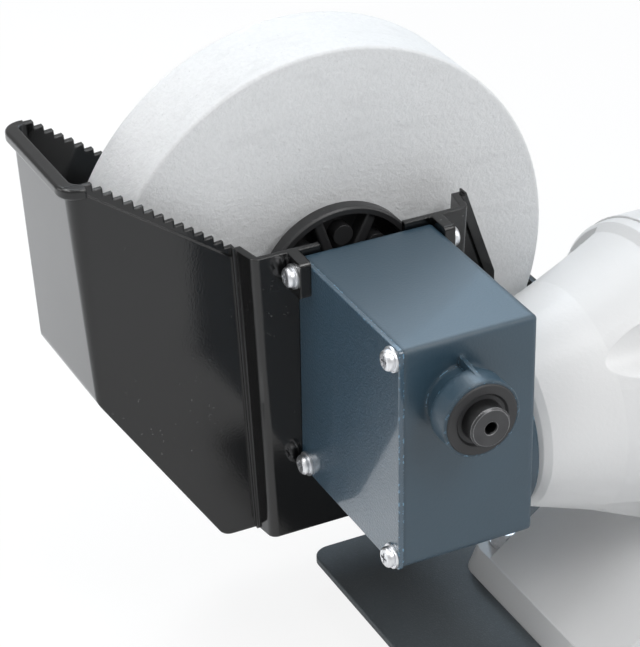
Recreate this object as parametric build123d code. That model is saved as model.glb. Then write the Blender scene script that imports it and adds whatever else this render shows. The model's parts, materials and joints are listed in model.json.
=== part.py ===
from build123d import *
import math
import os

# Wet and dry sharpening machine: slow wet stone behind a worm gearbox on one end of the
# motor, small dry wheel on the other end. Millimetres throughout.
# Working frame: origin on the stone's axis at its gearbox-side face, X along the motor,
# Y from the gearbox to the stone, Z up. All parts are moved to the shared frame at the end.

STONE_RADIUS = 100.0
STONE_WIDTH = 40.0
STONE_BORE = 10.0
STONE_SHAFT_RADIUS = 8.5
RUNNING_CLEARANCE = 0.05

FLANGE_RADIUS = 35.7
FLANGE_DEPTH = 12.0

GEARBOX_LEFT = -23.4
GEARBOX_RIGHT = 34.7
GEARBOX_BACK = -23.2
GEARBOX_DEPTH = 85.1
GEARBOX_FRONT = GEARBOX_BACK - GEARBOX_DEPTH
GEARBOX_TOP = 26.4
GEARBOX_WALL = 4.0
COVER_THICKNESS = 2.0
COVER_FACE = GEARBOX_LEFT - COVER_THICKNESS
NOSE_FLANGE_RADIUS = 38.0
NOSE_FLANGE_LENGTH = 5.3
NOSE_BOLT_CIRCLE = 25.0

MOTOR_SETBACK = 42.3
MOTOR_Y = GEARBOX_BACK - MOTOR_SETBACK
MOTOR_Z = -45.0
MOTOR_MID_X = 151.0
HOUSING_RADIUS = 67.0
HOUSING_WALL = 6.0
HOUSING_BORE = HOUSING_RADIUS - HOUSING_WALL
BELL_NOSE_X = GEARBOX_RIGHT + NOSE_FLANGE_LENGTH
BELL_SEAM_X = 115.5
SCALLOP_END_X = BELL_SEAM_X - 6.5
BOLT_CIRCLE = HOUSING_BORE - 5.0
MOTOR_SHAFT_RADIUS = 8.4
ROTOR_BORE = 11.0
BEARING_BORE = 8.5
BEARING_RADIUS = 20.0
BEARING_X = BELL_NOSE_X + 6.0
BEARING_WIDTH = 12.0

GEAR_MODULE = 1.75
GEAR_TEETH = 24
GEAR_PITCH_RADIUS = GEAR_MODULE * GEAR_TEETH / 2
GEAR_FACE = 16.0
WORM_LEAD = math.pi * GEAR_MODULE
WORM_PITCH_RADIUS = -MOTOR_Z - GEAR_PITCH_RADIUS
WORM_LEFT = -14.0
WORM_LENGTH = 30.0
WORM_BORE = 7.5
WORM_STUB_RADIUS = 6.0
WORM_ROOT_DEPTH = 1.9
WORM_SEAL_RADIUS = 16.0
TOOTH_THICKNESS = 1.2 * GEAR_MODULE
TOOTH_TIP = 0.8 * GEAR_MODULE
SUMP_RADIUS = WORM_PITCH_RADIUS + TOOTH_TIP + 2.6
SUMP_WALL = 2.5
GEARBOX_BOTTOM = MOTOR_Z - 27.4

TROUGH_WALL = 2.5
TROUGH_SIDE_GAP = 12.0
TROUGH_FLOOR_GAP = 5.0
TROUGH_END_GAP = 9.5
TROUGH_FRONT = -TROUGH_SIDE_GAP
TROUGH_BACK = STONE_WIDTH + TROUGH_SIDE_GAP
TROUGH_FLOOR = -STONE_RADIUS - TROUGH_FLOOR_GAP
TROUGH_END = STONE_RADIUS + TROUGH_END_GAP
TROUGH_RIM = 72.6
SIDE_RIM = -40.0
POCKET_FRONT = GEARBOX_BACK
POCKET_MID_X = 3.4
POCKET_TOP = 29.0

MOTOR_HEIGHT = 105.0
PLATE_TOP = MOTOR_Z - MOTOR_HEIGHT
PLATE_THICKNESS = 3.0
PLATE_LEFT = -2.0
PLATE_RIGHT = 2 * MOTOR_MID_X - PLATE_LEFT
PLATE_DEPTH = 170.0
PLATE_FRONT = MOTOR_Y - PLATE_DEPTH / 2
PLATE_BACK = MOTOR_Y + PLATE_DEPTH / 2
FOOT_HEIGHT = 12.0
FOOT_RADIUS = 14.0
FOOT_RECESS = 7.0

PEDESTAL_LEFT = 57.0
PEDESTAL_FRONT = MOTOR_Y - 65.0
PEDESTAL_BACK = MOTOR_Y + 44.5
PEDESTAL_FLANGE = 11.5
PEDESTAL_FLARE = 4.0
PEDESTAL_FRONT_BOLT = 55.0
PEDESTAL_SLOPE = math.tan(math.radians(38.0))

DRY_WHEEL_RADIUS = 75.0
DRY_WHEEL_WIDTH = 20.0
DRY_FLANGE_WIDTH = 4.0
DRY_BORE = 6.35
GUARD_SHEET = 2.5
GUARD_CLEARANCE = 5.0
GUARD_INNER_GAP = 10.5
GUARD_OUTER_GAP = 14.0
GUARD_X = 2 * MOTOR_MID_X - BELL_NOSE_X
DRY_WHEEL_X = GUARD_X + GUARD_SHEET + GUARD_INNER_GAP
GUARD_COVER_X = DRY_WHEEL_X + DRY_WHEEL_WIDTH + GUARD_OUTER_GAP
GUARD_COVER_SHEET = 2.0
GUARD_RADIUS = DRY_WHEEL_RADIUS + GUARD_CLEARANCE + GUARD_SHEET
GUARD_HUB_RADIUS = 52.0
GUARD_REACH_Y = MOTOR_Y + GUARD_RADIUS
GUARD_TOP = MOTOR_Z + GUARD_RADIUS


def block(x0, x1, y0, y1, z0, z1):
    """Box between two corners."""
    return Pos((x0 + x1) / 2, (y0 + y1) / 2, (z0 + z1) / 2) * Box(x1 - x0, y1 - y0, z1 - z0)


def rod_x(radius, x0, x1, y, z):
    """Cylinder along X."""
    return Pos((x0 + x1) / 2, y, z) * Rot(0, 90, 0) * Cylinder(radius, x1 - x0)


def rod_y(radius, y0, y1, x, z):
    """Cylinder along Y."""
    return Pos(x, (y0 + y1) / 2, z) * Rot(90, 0, 0) * Cylinder(radius, y1 - y0)


def rod_z(radius, z0, z1, x, y):
    """Cylinder along Z."""
    return Pos(x, y, (z0 + z1) / 2) * Cylinder(radius, z1 - z0)


def plane_xz(y):
    """Sketch plane at depth y whose sketch axes are X and Z."""
    return Plane(origin=(0, y, 0), x_dir=(1, 0, 0), z_dir=(0, -1, 0))


def plane_yz(x):
    """Sketch plane at x whose sketch axes are Y and Z."""
    return Plane(origin=(x, 0, 0), x_dir=(0, 1, 0), z_dir=(1, 0, 0))


def outline(points):
    """Flat face from corner points."""
    return Polygon(*points, align=None)


def prism_y(points, y0, y1):
    """Outline in X and Z, extruded from y0 to y1."""
    return extrude(plane_xz(y1) * outline(points), y1 - y0, dir=(0, -1, 0))


def prism_x(points, x0, x1):
    """Outline in Y and Z, extruded from x0 to x1."""
    return extrude(plane_yz(x0) * outline(points), x1 - x0, dir=(1, 0, 0))


def turn_x(points):
    """Profile of x and radius, turned about the motor axis."""
    plane = Plane(origin=(0, MOTOR_Y, MOTOR_Z), x_dir=(1, 0, 0), z_dir=(0, -1, 0))
    return revolve(plane * outline(points), Axis((0, MOTOR_Y, MOTOR_Z), (1, 0, 0)))


def turn_y(points, x=0.0, z=0.0):
    """Profile of y and radius, turned about an axis along Y."""
    plane = Plane(origin=(x, 0, z), x_dir=(0, 1, 0), z_dir=(1, 0, 0))
    return revolve(plane * outline(points), Axis((x, 0, z), (0, 1, 0)))


def sleeve_x(outer, inner, x0, x1):
    """Ring about the motor axis."""
    return turn_x([(x0, inner), (x1, inner), (x1, outer), (x0, outer)])


def sleeve_y(outer, inner, y0, y1):
    """Ring about the stone's axis."""
    return turn_y([(y0, inner), (y1, inner), (y1, outer), (y0, outer)])


def around_motor(radius, degrees):
    """Y and Z of a point at an angle round the motor axis, from the +Y side upward."""
    angle = math.radians(degrees)
    return MOTOR_Y + radius * math.cos(angle), MOTOR_Z + radius * math.sin(angle)


def mirrored(shape):
    """Copy on the other end of the motor."""
    return mirror(shape, about=Plane(origin=(MOTOR_MID_X, 0, 0), z_dir=(1, 0, 0)))


def placed(shape, origin, direction):
    """Shape made along +Z, moved to an origin and turned to a direction."""
    return Plane(origin=origin, z_dir=direction) * shape


def pan_screw(shank, length, head, head_height):
    """Pan-head screw with a cross recess, head upward from z = 0."""
    body = Cylinder(shank, length, align=(Align.CENTER, Align.CENTER, Align.MAX))
    cap = Cylinder(head, head_height, align=(Align.CENTER, Align.CENTER, Align.MIN))
    cap = fillet(cap.edges().group_by(Axis.Z)[-1], head_height * 0.6)
    slot = Box(head * 1.05, head * 0.26, head_height * 1.2)
    recess = Pos(0, 0, head_height) * (slot + Rot(0, 0, 90) * slot)
    return body + cap - recess


def hex_prism(flats, height):
    """Hexagonal prism upward from z = 0 with chamfered corners on top."""
    corner = flats / math.sqrt(3)
    prism = extrude(RegularPolygon(corner, 6), height)
    dome = Cylinder(corner * 1.01, height, align=(Align.CENTER, Align.CENTER, Align.MIN))
    dome = chamfer(dome.edges().group_by(Axis.Z)[-1], corner * 0.16)
    return prism & dome


def hex_nut(flats, height, bore):
    """Hexagonal nut upward from z = 0."""
    return hex_prism(flats, height) - Cylinder(bore, height * 3)


def ring(outer, inner, height):
    """Flat ring upward from z = 0."""
    disc = Cylinder(outer, height, align=(Align.CENTER, Align.CENTER, Align.MIN))
    return disc - Cylinder(inner, height * 3)


def joined(shapes):
    """One compound of separate solids."""
    solids = []
    for shape in shapes:
        solids.extend(shape.solids())
    return Compound(children=solids)


# Base plate, feet and pedestal


def foot_spots():
    """Centres of the four rubber feet."""
    inset_x = 35.0
    inset_y = 15.0
    return [
        (x, y)
        for x in (PLATE_LEFT + inset_x, PLATE_RIGHT - inset_x)
        for y in (PLATE_FRONT + inset_y, PLATE_BACK - inset_y)
    ]


def pedestal_bolt_spots():
    """Centres of the four bolts that hold the pedestal to the plate."""
    inset = 7.5
    back_x = PEDESTAL_LEFT + 13.3
    front_x = PEDESTAL_LEFT + PEDESTAL_FRONT_BOLT
    return [
        (back_x, PEDESTAL_BACK - inset),
        (2 * MOTOR_MID_X - back_x, PEDESTAL_BACK - inset),
        (front_x, PEDESTAL_FRONT + inset),
        (2 * MOTOR_MID_X - front_x, PEDESTAL_FRONT + inset),
    ]


def make_base_plate():
    corner = 8.0
    plate = block(
        PLATE_LEFT, PLATE_RIGHT, PLATE_FRONT, PLATE_BACK, PLATE_TOP - PLATE_THICKNESS, PLATE_TOP
    )
    plate = fillet(plate.edges().filter_by(Axis.Z), corner)
    plate = chamfer(plate.faces().sort_by(Axis.Z)[-1].edges(), 0.4)
    for x, y in foot_spots():
        plate -= rod_z(2.5, PLATE_TOP - 9, PLATE_TOP + 1, x, y)
    for x, y in pedestal_bolt_spots():
        plate -= rod_z(4.2, PLATE_TOP - 9, PLATE_TOP + 1, x, y)
    return plate


def make_rubber_feet():
    under = PLATE_TOP - PLATE_THICKNESS
    foot = Cone(FOOT_RADIUS - 1.5, FOOT_RADIUS, FOOT_HEIGHT, align=(Align.CENTER, Align.CENTER, Align.MIN))
    foot = fillet(foot.edges().group_by(Axis.Z)[0], 1.5)
    foot -= Cylinder(6.0, 2 * FOOT_RECESS, align=(Align.CENTER, Align.CENTER, Align.CENTER))
    foot -= Cylinder(2.6, 40.0)
    return joined(Pos(x, y, under - FOOT_HEIGHT) * foot for x, y in foot_spots())


def make_foot_screws():
    seat = PLATE_TOP - PLATE_THICKNESS - FOOT_HEIGHT + FOOT_RECESS
    length = FOOT_HEIGHT - FOOT_RECESS + PLATE_THICKNESS - 0.2
    screw = pan_screw(2.5, length, 4.8, 3.0)
    return joined(placed(screw, (x, y, seat), (0, 0, -1)) for x, y in foot_spots())


def make_pedestal_bolts():
    seat = PLATE_TOP + PEDESTAL_FLANGE + 1.6
    length = PEDESTAL_FLANGE + PLATE_THICKNESS + 1.6 + 8.0
    bolt = hex_prism(13.0, 5.3) + Cylinder(4.0, length, align=(Align.CENTER, Align.CENTER, Align.MAX))
    return joined(Pos(x, y, seat) * bolt for x, y in pedestal_bolt_spots())


def make_pedestal_washers():
    seat = PLATE_TOP + PEDESTAL_FLANGE
    washer = ring(7.6, 4.2, 1.6)
    return joined(Pos(x, y, seat) * washer for x, y in pedestal_bolt_spots())


def make_pedestal_nuts():
    top = PLATE_TOP - PLATE_THICKNESS
    nut = Rot(180, 0, 0) * hex_nut(13.0, 6.5, 4.0)
    return joined(Pos(x, y, top) * nut for x, y in pedestal_bolt_spots())


# Motor

BELL_WAIST_X = BELL_NOSE_X + 35.0
BELL_WAIST_RADIUS = 48.4
BOLT_ANGLES = (45, 135, 225, 315)


def bell_profile(grow=0.0):
    """Outer profile of the wet-side end bell, from the nose to the seam."""
    return [
        (BELL_NOSE_X - grow, 30.5 + grow),
        (BELL_NOSE_X + 0.9 - grow * 0.7, 34.0 + grow),
        (BELL_NOSE_X + 3.0 - grow * 0.4, 36.8 + grow),
        (BELL_NOSE_X + 6.0, 38.9 + grow),
        (BELL_WAIST_X, BELL_WAIST_RADIUS + grow),
        (BELL_SEAM_X - 8.5, HOUSING_RADIUS - 5.0 + grow),
        (BELL_SEAM_X - 5.0, HOUSING_RADIUS - 1.4 + grow),
        (BELL_SEAM_X, HOUSING_RADIUS - 0.8 + grow),
    ]


def make_wet_end_bell():
    wall = 4.5
    seam = BELL_SEAM_X
    back = BELL_NOSE_X + 23.0
    rim = HOUSING_BORE - 0.5
    outer = turn_x([(BELL_NOSE_X, 0.0)] + bell_profile() + [(seam, 0.0)])
    hollow = turn_x([
        (seam + 1, 0.0), (seam + 1, rim), (seam - 3.5, rim), (seam - 11.5, HOUSING_RADIUS - 6.4 - wall),
        (BELL_WAIST_X, BELL_WAIST_RADIUS - wall), (back, 38.0), (back, 0.0),
    ])
    bell = outer - hollow
    hub = sleeve_x(BEARING_RADIUS + 5.5, BEARING_RADIUS, BEARING_X, BEARING_X + BEARING_WIDTH + 6.0)
    bell += hub
    pocket_radius = 14.0
    pocket_centre = BOLT_CIRCLE - 8.5 + pocket_radius
    liner_start = back - 1.0
    liner_end = seam - 2.5
    liner_limit = turn_x([(liner_start, 0.0)] + [(x, r) for x, r in bell_profile() if x > liner_start][:-1]
                         + [(liner_end, HOUSING_RADIUS - 2.0), (liner_end, 0.0)])
    for degrees in BOLT_ANGLES:
        y, z = around_motor(pocket_centre, degrees)
        bell += rod_x(pocket_radius + 4.0, liner_start, liner_end, y, z) & liner_limit
    for degrees in BOLT_ANGLES:
        y, z = around_motor(pocket_centre, degrees)
        bell -= rod_x(pocket_radius, liner_start - 2.0, SCALLOP_END_X, y, z)
        y, z = around_motor(BOLT_CIRCLE, degrees)
        bell -= rod_x(2.75, SCALLOP_END_X - 2, seam + 2, y, z)
    bell -= rod_x(BEARING_RADIUS, BEARING_X, seam, MOTOR_Y, MOTOR_Z)
    bell -= rod_x(11.0, BELL_NOSE_X - 1, BEARING_X + 1, MOTOR_Y, MOTOR_Z)
    for degrees in BOLT_ANGLES:
        y, z = around_motor(NOSE_BOLT_CIRCLE, degrees)
        bell -= rod_x(2.5, BELL_NOSE_X - 1, BELL_NOSE_X + 14, y, z)
    return bell


def make_dry_end_bell():
    return mirrored(make_wet_end_bell())


def pedestal_slope_points(inset):
    """Trapezoid of the pedestal in X and Z, set in by a wall thickness."""
    left = PEDESTAL_LEFT + 0.5
    right = 2 * MOTOR_MID_X - left
    foot = PLATE_TOP + PEDESTAL_FLANGE
    shoulder = BELL_SEAM_X + 1.5
    rise = (shoulder - left) * PEDESTAL_SLOPE
    far = 2 * MOTOR_MID_X - shoulder
    along = inset * 1.28
    return [
        (left + along, foot - inset), (shoulder + along * 0.4, foot + rise - inset),
        (far - along * 0.4, foot + rise - inset), (right - along, foot - inset),
    ]


def make_motor_housing():
    seam = BELL_SEAM_X
    far_seam = 2 * MOTOR_MID_X - seam
    foot_top = PLATE_TOP + PEDESTAL_FLANGE
    right = 2 * MOTOR_MID_X - PEDESTAL_LEFT
    sole = RectangleRounded(right - PEDESTAL_LEFT + 2 * PEDESTAL_FLARE,
                            PEDESTAL_BACK - PEDESTAL_FRONT + 2 * PEDESTAL_FLARE, 12.0)
    middle = Pos(MOTOR_MID_X, (PEDESTAL_FRONT + PEDESTAL_BACK) / 2, PLATE_TOP)
    draft = math.degrees(math.atan(PEDESTAL_FLARE / PEDESTAL_FLANGE))
    flange = extrude(middle * sole, PEDESTAL_FLANGE, taper=draft)
    body = prism_y(pedestal_slope_points(0.0), PEDESTAL_FRONT, PEDESTAL_BACK)
    body = flange + body
    pocket_depth = 16.0
    for x0, x1 in ((PEDESTAL_LEFT - 2, PEDESTAL_LEFT + 40), (right - 40, right + 2)):
        body -= block(x0, x1, PEDESTAL_BACK - pocket_depth, PEDESTAL_BACK + 2, foot_top, MOTOR_Z)
    pocket_half = 11.0
    front_pocket = PEDESTAL_LEFT + PEDESTAL_FRONT_BOLT
    for x in (front_pocket, 2 * MOTOR_MID_X - front_pocket):
        body -= block(x - pocket_half, x + pocket_half, PEDESTAL_FRONT - 2, PEDESTAL_FRONT + pocket_depth,
                      foot_top, MOTOR_Z)
    wall = 5.0
    inner = pedestal_slope_points(wall)
    ends = [(inner[0][0], PLATE_TOP - 1)] + inner + [(inner[3][0], PLATE_TOP - 1)]
    body -= prism_y(ends, PEDESTAL_FRONT + pocket_depth + wall, PEDESTAL_BACK - pocket_depth - wall)
    mid_left = front_pocket + pocket_half + wall
    mid_right = 2 * MOTOR_MID_X - mid_left
    body -= block(mid_left, mid_right, PEDESTAL_FRONT + wall, PEDESTAL_BACK - wall,
                  PLATE_TOP - 1, inner[1][1])
    body += sleeve_x(HOUSING_RADIUS, HOUSING_BORE - 1, seam, far_seam)
    gap = 0.8
    clear = turn_x([(BELL_NOSE_X - gap, 0.0)] + bell_profile(gap) + [(seam, 0.0)])
    body -= clear
    body -= mirrored(clear)
    body -= rod_x(HOUSING_BORE, seam, far_seam, MOTOR_Y, MOTOR_Z)
    body -= rod_z(8.0, MOTOR_Z - HOUSING_RADIUS - 8, MOTOR_Z - HOUSING_BORE + 11, WIRE_HOLE_X, MOTOR_Y)
    for x, y in pedestal_bolt_spots():
        body -= rod_z(4.2, PLATE_TOP - 2, foot_top + 2, x, y)
    body -= block(SWITCH_X - 13.1, SWITCH_X + 13.1, PEDESTAL_BACK - 8, PEDESTAL_BACK + 2,
                  SWITCH_Z - SWITCH_HALF_HEIGHT - 0.1, SWITCH_Z + SWITCH_HALF_HEIGHT + 0.1)
    bezel_seat = 0.2
    body -= block(SWITCH_X - BEZEL_HALF_WIDTH - bezel_seat, SWITCH_X + BEZEL_HALF_WIDTH + bezel_seat,
                  PEDESTAL_BACK, PEDESTAL_BACK + PEDESTAL_FLARE + 1,
                  SWITCH_Z - BEZEL_HALF_HEIGHT - bezel_seat, SWITCH_Z + BEZEL_HALF_HEIGHT + bezel_seat)
    body -= rod_y(6.0, PEDESTAL_FRONT - 2, PEDESTAL_FRONT + 8, GLAND_X, GLAND_Z)
    return body


def make_through_bolts():
    bolts = []
    length = 2 * (MOTOR_MID_X - SCALLOP_END_X) + 9.0
    bolt = hex_prism(8.0, 3.5) + Cylinder(2.5, length, align=(Align.CENTER, Align.CENTER, Align.MAX))
    for degrees in BOLT_ANGLES:
        y, z = around_motor(BOLT_CIRCLE, degrees)
        bolts.append(placed(bolt, (SCALLOP_END_X, y, z), (-1, 0, 0)))
    return joined(bolts)


def make_through_nuts():
    nuts = []
    nut = hex_nut(8.0, 4.0, 2.5)
    for degrees in BOLT_ANGLES:
        y, z = around_motor(BOLT_CIRCLE, degrees)
        nuts.append(placed(nut, (2 * MOTOR_MID_X - SCALLOP_END_X, y, z), (1, 0, 0)))
    return joined(nuts)


STATOR_START = BELL_SEAM_X + 8.5
STATOR_DEPTH = 27.0
STATOR_BORE = HOUSING_BORE - STATOR_DEPTH
ROTOR_RADIUS = STATOR_BORE - 0.4
SLOT_DEPTH = 14.0
SLOT_COUNT = 24


def make_stator_core():
    end = 2 * MOTOR_MID_X - STATOR_START
    core = sleeve_x(HOUSING_BORE, STATOR_BORE, STATOR_START, end)
    cutters = []
    slot = block(STATOR_START - 1, end + 1, STATOR_BORE + 2, STATOR_BORE + SLOT_DEPTH, -2.2, 2.2)
    mouth = block(STATOR_START - 1, end + 1, STATOR_BORE - 4, STATOR_BORE + 3, -1.0, 1.0)
    for index in range(SLOT_COUNT):
        turn = Pos(0, MOTOR_Y, MOTOR_Z) * Rot(index * 360.0 / SLOT_COUNT, 0, 0)
        cutters.append(turn * slot)
        cutters.append(turn * mouth)
    for degrees in BOLT_ANGLES:
        y, z = around_motor(BOLT_CIRCLE, degrees)
        cutters.append(rod_x(2.9, STATOR_START - 1, end + 1, y, z))
    return core - cutters


def make_stator_winding():
    start = STATOR_START
    reach = 9.0
    end = 2 * MOTOR_MID_X - start
    low = STATOR_BORE + 2.5
    high = STATOR_BORE + SLOT_DEPTH - 0.3
    near = turn_x([(start - reach, low + 2.5), (start - reach + 2, low), (start, low),
                   (start, high), (start - reach + 3, high), (start - reach, high - 2.7)])
    winding = near + mirrored(near)
    bar = block(start - 2, end + 2, low + 1.0, high - 0.2, -2.0, 2.0)
    bars = []
    for index in range(SLOT_COUNT):
        bars.append(Pos(0, MOTOR_Y, MOTOR_Z) * Rot(index * 360.0 / SLOT_COUNT, 0, 0) * bar)
    return winding + bars


def make_rotor_core():
    end = 2 * MOTOR_MID_X - STATOR_START
    return sleeve_x(ROTOR_RADIUS, ROTOR_BORE, STATOR_START, end)


def make_rotor_cage():
    end = 2 * MOTOR_MID_X - STATOR_START
    near = sleeve_x(ROTOR_RADIUS - 0.4, 22.0, STATOR_START - 5.0, STATOR_START)
    fin = block(STATOR_START - 12.0, STATOR_START - 5.0, 24.0, ROTOR_RADIUS - 1.1, -1.2, 1.2)
    fins = []
    for index in range(8):
        fins.append(Pos(0, MOTOR_Y, MOTOR_Z) * Rot(index * 45.0, 0, 0) * fin)
    near = near + fins
    return joined([near, mirrored(near)])


def make_motor_shaft():
    seat = BEARING_X + BEARING_WIDTH
    far_seat = 2 * MOTOR_MID_X - seat
    far_nose = 2 * MOTOR_MID_X - BEARING_X
    worm_end = WORM_LEFT + WORM_LENGTH
    stub = WORM_LEFT - 6.5
    tip = GUARD_COVER_X - 0.4
    chamfer_width = 0.6
    return turn_x([
        (stub, 0.0), (stub, WORM_STUB_RADIUS - chamfer_width), (stub + chamfer_width, WORM_STUB_RADIUS),
        (WORM_LEFT, WORM_STUB_RADIUS), (WORM_LEFT, WORM_BORE), (worm_end, WORM_BORE),
        (worm_end, MOTOR_SHAFT_RADIUS), (BEARING_X, MOTOR_SHAFT_RADIUS), (BEARING_X, BEARING_BORE),
        (seat, BEARING_BORE), (seat, ROTOR_BORE), (far_seat, ROTOR_BORE), (far_seat, BEARING_BORE),
        (far_nose, BEARING_BORE), (far_nose, MOTOR_SHAFT_RADIUS),
        (DRY_WHEEL_X - DRY_FLANGE_WIDTH, MOTOR_SHAFT_RADIUS), (DRY_WHEEL_X - DRY_FLANGE_WIDTH, DRY_BORE),
        (tip - chamfer_width, DRY_BORE), (tip, DRY_BORE - chamfer_width), (tip, 0.0),
    ])


def make_bearing_outer_rings():
    end = BEARING_X + BEARING_WIDTH
    shield = 0.8
    outer = turn_x([
        (BEARING_X, 12.2), (BEARING_X + shield, 12.2), (BEARING_X + shield, 17.0), (end - shield, 17.0),
        (end - shield, 12.2), (end, 12.2), (end, BEARING_RADIUS), (BEARING_X, BEARING_RADIUS),
    ])
    return joined([outer, mirrored(outer)])


def make_bearing_inner_rings():
    inner = sleeve_x(BEARING_BORE + 3.0, BEARING_BORE, BEARING_X, BEARING_X + BEARING_WIDTH)
    return joined([inner, mirrored(inner)])


def make_bearing_balls():
    balls = []
    for index in range(8):
        y, z = around_motor(14.25, index * 45.0)
        ball = Pos(BEARING_X + BEARING_WIDTH / 2, y, z) * Sphere(2.7)
        balls.append(ball)
        balls.append(mirrored(ball))
    return joined(balls)


CAPACITOR_RADIUS = 12.0
CLIP_SHEET = 1.5
CAPACITOR_Y = MOTOR_Y - 22.5
CAPACITOR_Z = PLATE_TOP + CAPACITOR_RADIUS + CLIP_SHEET


def make_run_capacitor():
    start = MOTOR_MID_X - 26.0
    end = MOTOR_MID_X + 25.0
    can = rod_x(CAPACITOR_RADIUS, start, end, CAPACITOR_Y, CAPACITOR_Z)
    can = fillet(can.edges().filter_by(GeomType.CIRCLE), 1.5)
    for offset in (-4.0, 4.0):
        can += block(end, end + 6.0, CAPACITOR_Y + offset - 0.4, CAPACITOR_Y + offset + 0.4,
                     CAPACITOR_Z - 3, CAPACITOR_Z + 3)
    return can


def make_capacitor_clip():
    outer = CAPACITOR_RADIUS + CLIP_SHEET
    x0 = MOTOR_MID_X - 8.0
    x1 = MOTOR_MID_X + 6.0
    clip = rod_x(outer, x0, x1, CAPACITOR_Y, CAPACITOR_Z)
    clip += block(x0, x1, CAPACITOR_Y, CAPACITOR_Y + outer + 14, PLATE_TOP, PLATE_TOP + CLIP_SHEET)
    return clip - rod_x(CAPACITOR_RADIUS, x0 - 1, x1 + 1, CAPACITOR_Y, CAPACITOR_Z)


# Switch and cable inlet

SWITCH_X = MOTOR_MID_X
SWITCH_DEPTH = 24.0
SWITCH_HALF_HEIGHT = 10.0
SWITCH_CLEARANCE = 0.213
SWITCH_INNER_END = PEDESTAL_BACK - SWITCH_DEPTH
HOUSING_DROP = math.sqrt(HOUSING_RADIUS ** 2 - (SWITCH_INNER_END - MOTOR_Y) ** 2)
SWITCH_Z = MOTOR_Z - HOUSING_DROP - SWITCH_CLEARANCE - SWITCH_HALF_HEIGHT
BEZEL_HALF_WIDTH = 16.0
BEZEL_HALF_HEIGHT = SWITCH_HALF_HEIGHT + 3.0
GLAND_X = MOTOR_MID_X + 10.0
GLAND_Z = PLATE_TOP + 22.0
WIRE_HOLE_X = MOTOR_MID_X + 19.0
ROCKER_Y = PEDESTAL_BACK - 1.0
ROCKER_TILT = 11.0


def make_switch_frame():
    face = PEDESTAL_BACK
    bezel = block(SWITCH_X - BEZEL_HALF_WIDTH, SWITCH_X + BEZEL_HALF_WIDTH, face, face + 2.2,
                  SWITCH_Z - BEZEL_HALF_HEIGHT, SWITCH_Z + BEZEL_HALF_HEIGHT)
    bezel = fillet(bezel.edges().filter_by(Axis.Y), 2.5)
    bezel = chamfer(bezel.faces().sort_by(Axis.Y)[-1].edges(), 0.7)
    frame = bezel + block(SWITCH_X - 13, SWITCH_X + 13, SWITCH_INNER_END, face,
                          SWITCH_Z - SWITCH_HALF_HEIGHT, SWITCH_Z + SWITCH_HALF_HEIGHT)
    frame -= block(SWITCH_X - 9, SWITCH_X + 9, face - 10, face + 5, SWITCH_Z - 9.2, SWITCH_Z + 9.2)
    frame -= rod_x(1.55, SWITCH_X - 10.5, SWITCH_X + 10.5, ROCKER_Y, SWITCH_Z)
    for offset in (-7.0, 0.0, 7.0):
        frame += block(SWITCH_X + offset - 2.4, SWITCH_X + offset + 2.4,
                       SWITCH_INNER_END - 7.0, SWITCH_INNER_END,
                       SWITCH_Z - 0.4, SWITCH_Z + 0.4)
    return frame


def make_switch_rocker():
    half = 8.3
    profile = [(-3.2, -half), (3.6, -half), (2.2, 0.0), (3.6, half), (-3.2, half)]
    rocker = prism_x(profile, -8.8, 8.8)
    rocker = fillet(rocker.edges().filter_by(Axis.X).sort_by(Axis.Y)[-2:], 0.8)
    rocker += Rot(0, 90, 0) * Cylinder(1.5, 20.4)
    return Pos(SWITCH_X, ROCKER_Y, SWITCH_Z) * Rot(ROCKER_TILT, 0, 0) * rocker


def make_cable_gland():
    face = PEDESTAL_FRONT
    gland = turn_y([
        (face + 7.0, 3.2), (face + 7.0, 5.9), (face, 5.9), (face, 10.0), (face - 4.0, 10.0),
        (face - 5.0, 8.5), (face - 14.0, 7.0), (face - 15.0, 6.0), (face - 15.0, 3.2),
    ], GLAND_X, GLAND_Z)
    for y in (face - 7.5, face - 10.5, face - 13.0):
        gland -= turn_y([(y, 6.4), (y, 12.0), (y + 1.2, 12.0), (y + 1.2, 6.4)], GLAND_X, GLAND_Z)
    return gland


# Worm gearbox

SCREW_FRONT_Y = GEARBOX_FRONT + 5.3
SCREW_BACK_Y = GEARBOX_BACK - 5.4
SCREW_TOP_Z = GEARBOX_TOP - 5.4
SCREW_BOTTOM_Z = GEARBOX_BOTTOM + 3.7
BUSH_RADIUS = 11.5
COLLAR_START = GEARBOX_FRONT - 8.0
BOSS_END = GEARBOX_FRONT - 18.7
SEAL_SEAT = GEARBOX_FRONT - 11.2
SEAL_FACE = GEARBOX_FRONT - 19.2
SEAL_RADIUS = 15.2
COLLAR_RADIUS = SEAL_RADIUS + 1.1
NECK_RADIUS = BUSH_RADIUS + 2.2
REAR_SEAL_RADIUS = 14.0
FRONT_BUSH_END = GEARBOX_FRONT + 11.0
REAR_BUSH_START = GEARBOX_BACK - 21.0
REAR_SEAL_SEAT = GEARBOX_BACK - 6.0


def cover_screw_spots():
    """Y and Z of the three screws that only hold the cover."""
    return [
        (SCREW_FRONT_Y, SCREW_TOP_Z), (SCREW_FRONT_Y, SCREW_BOTTOM_Z), (SCREW_BACK_Y, SCREW_BOTTOM_Z),
    ]


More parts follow.
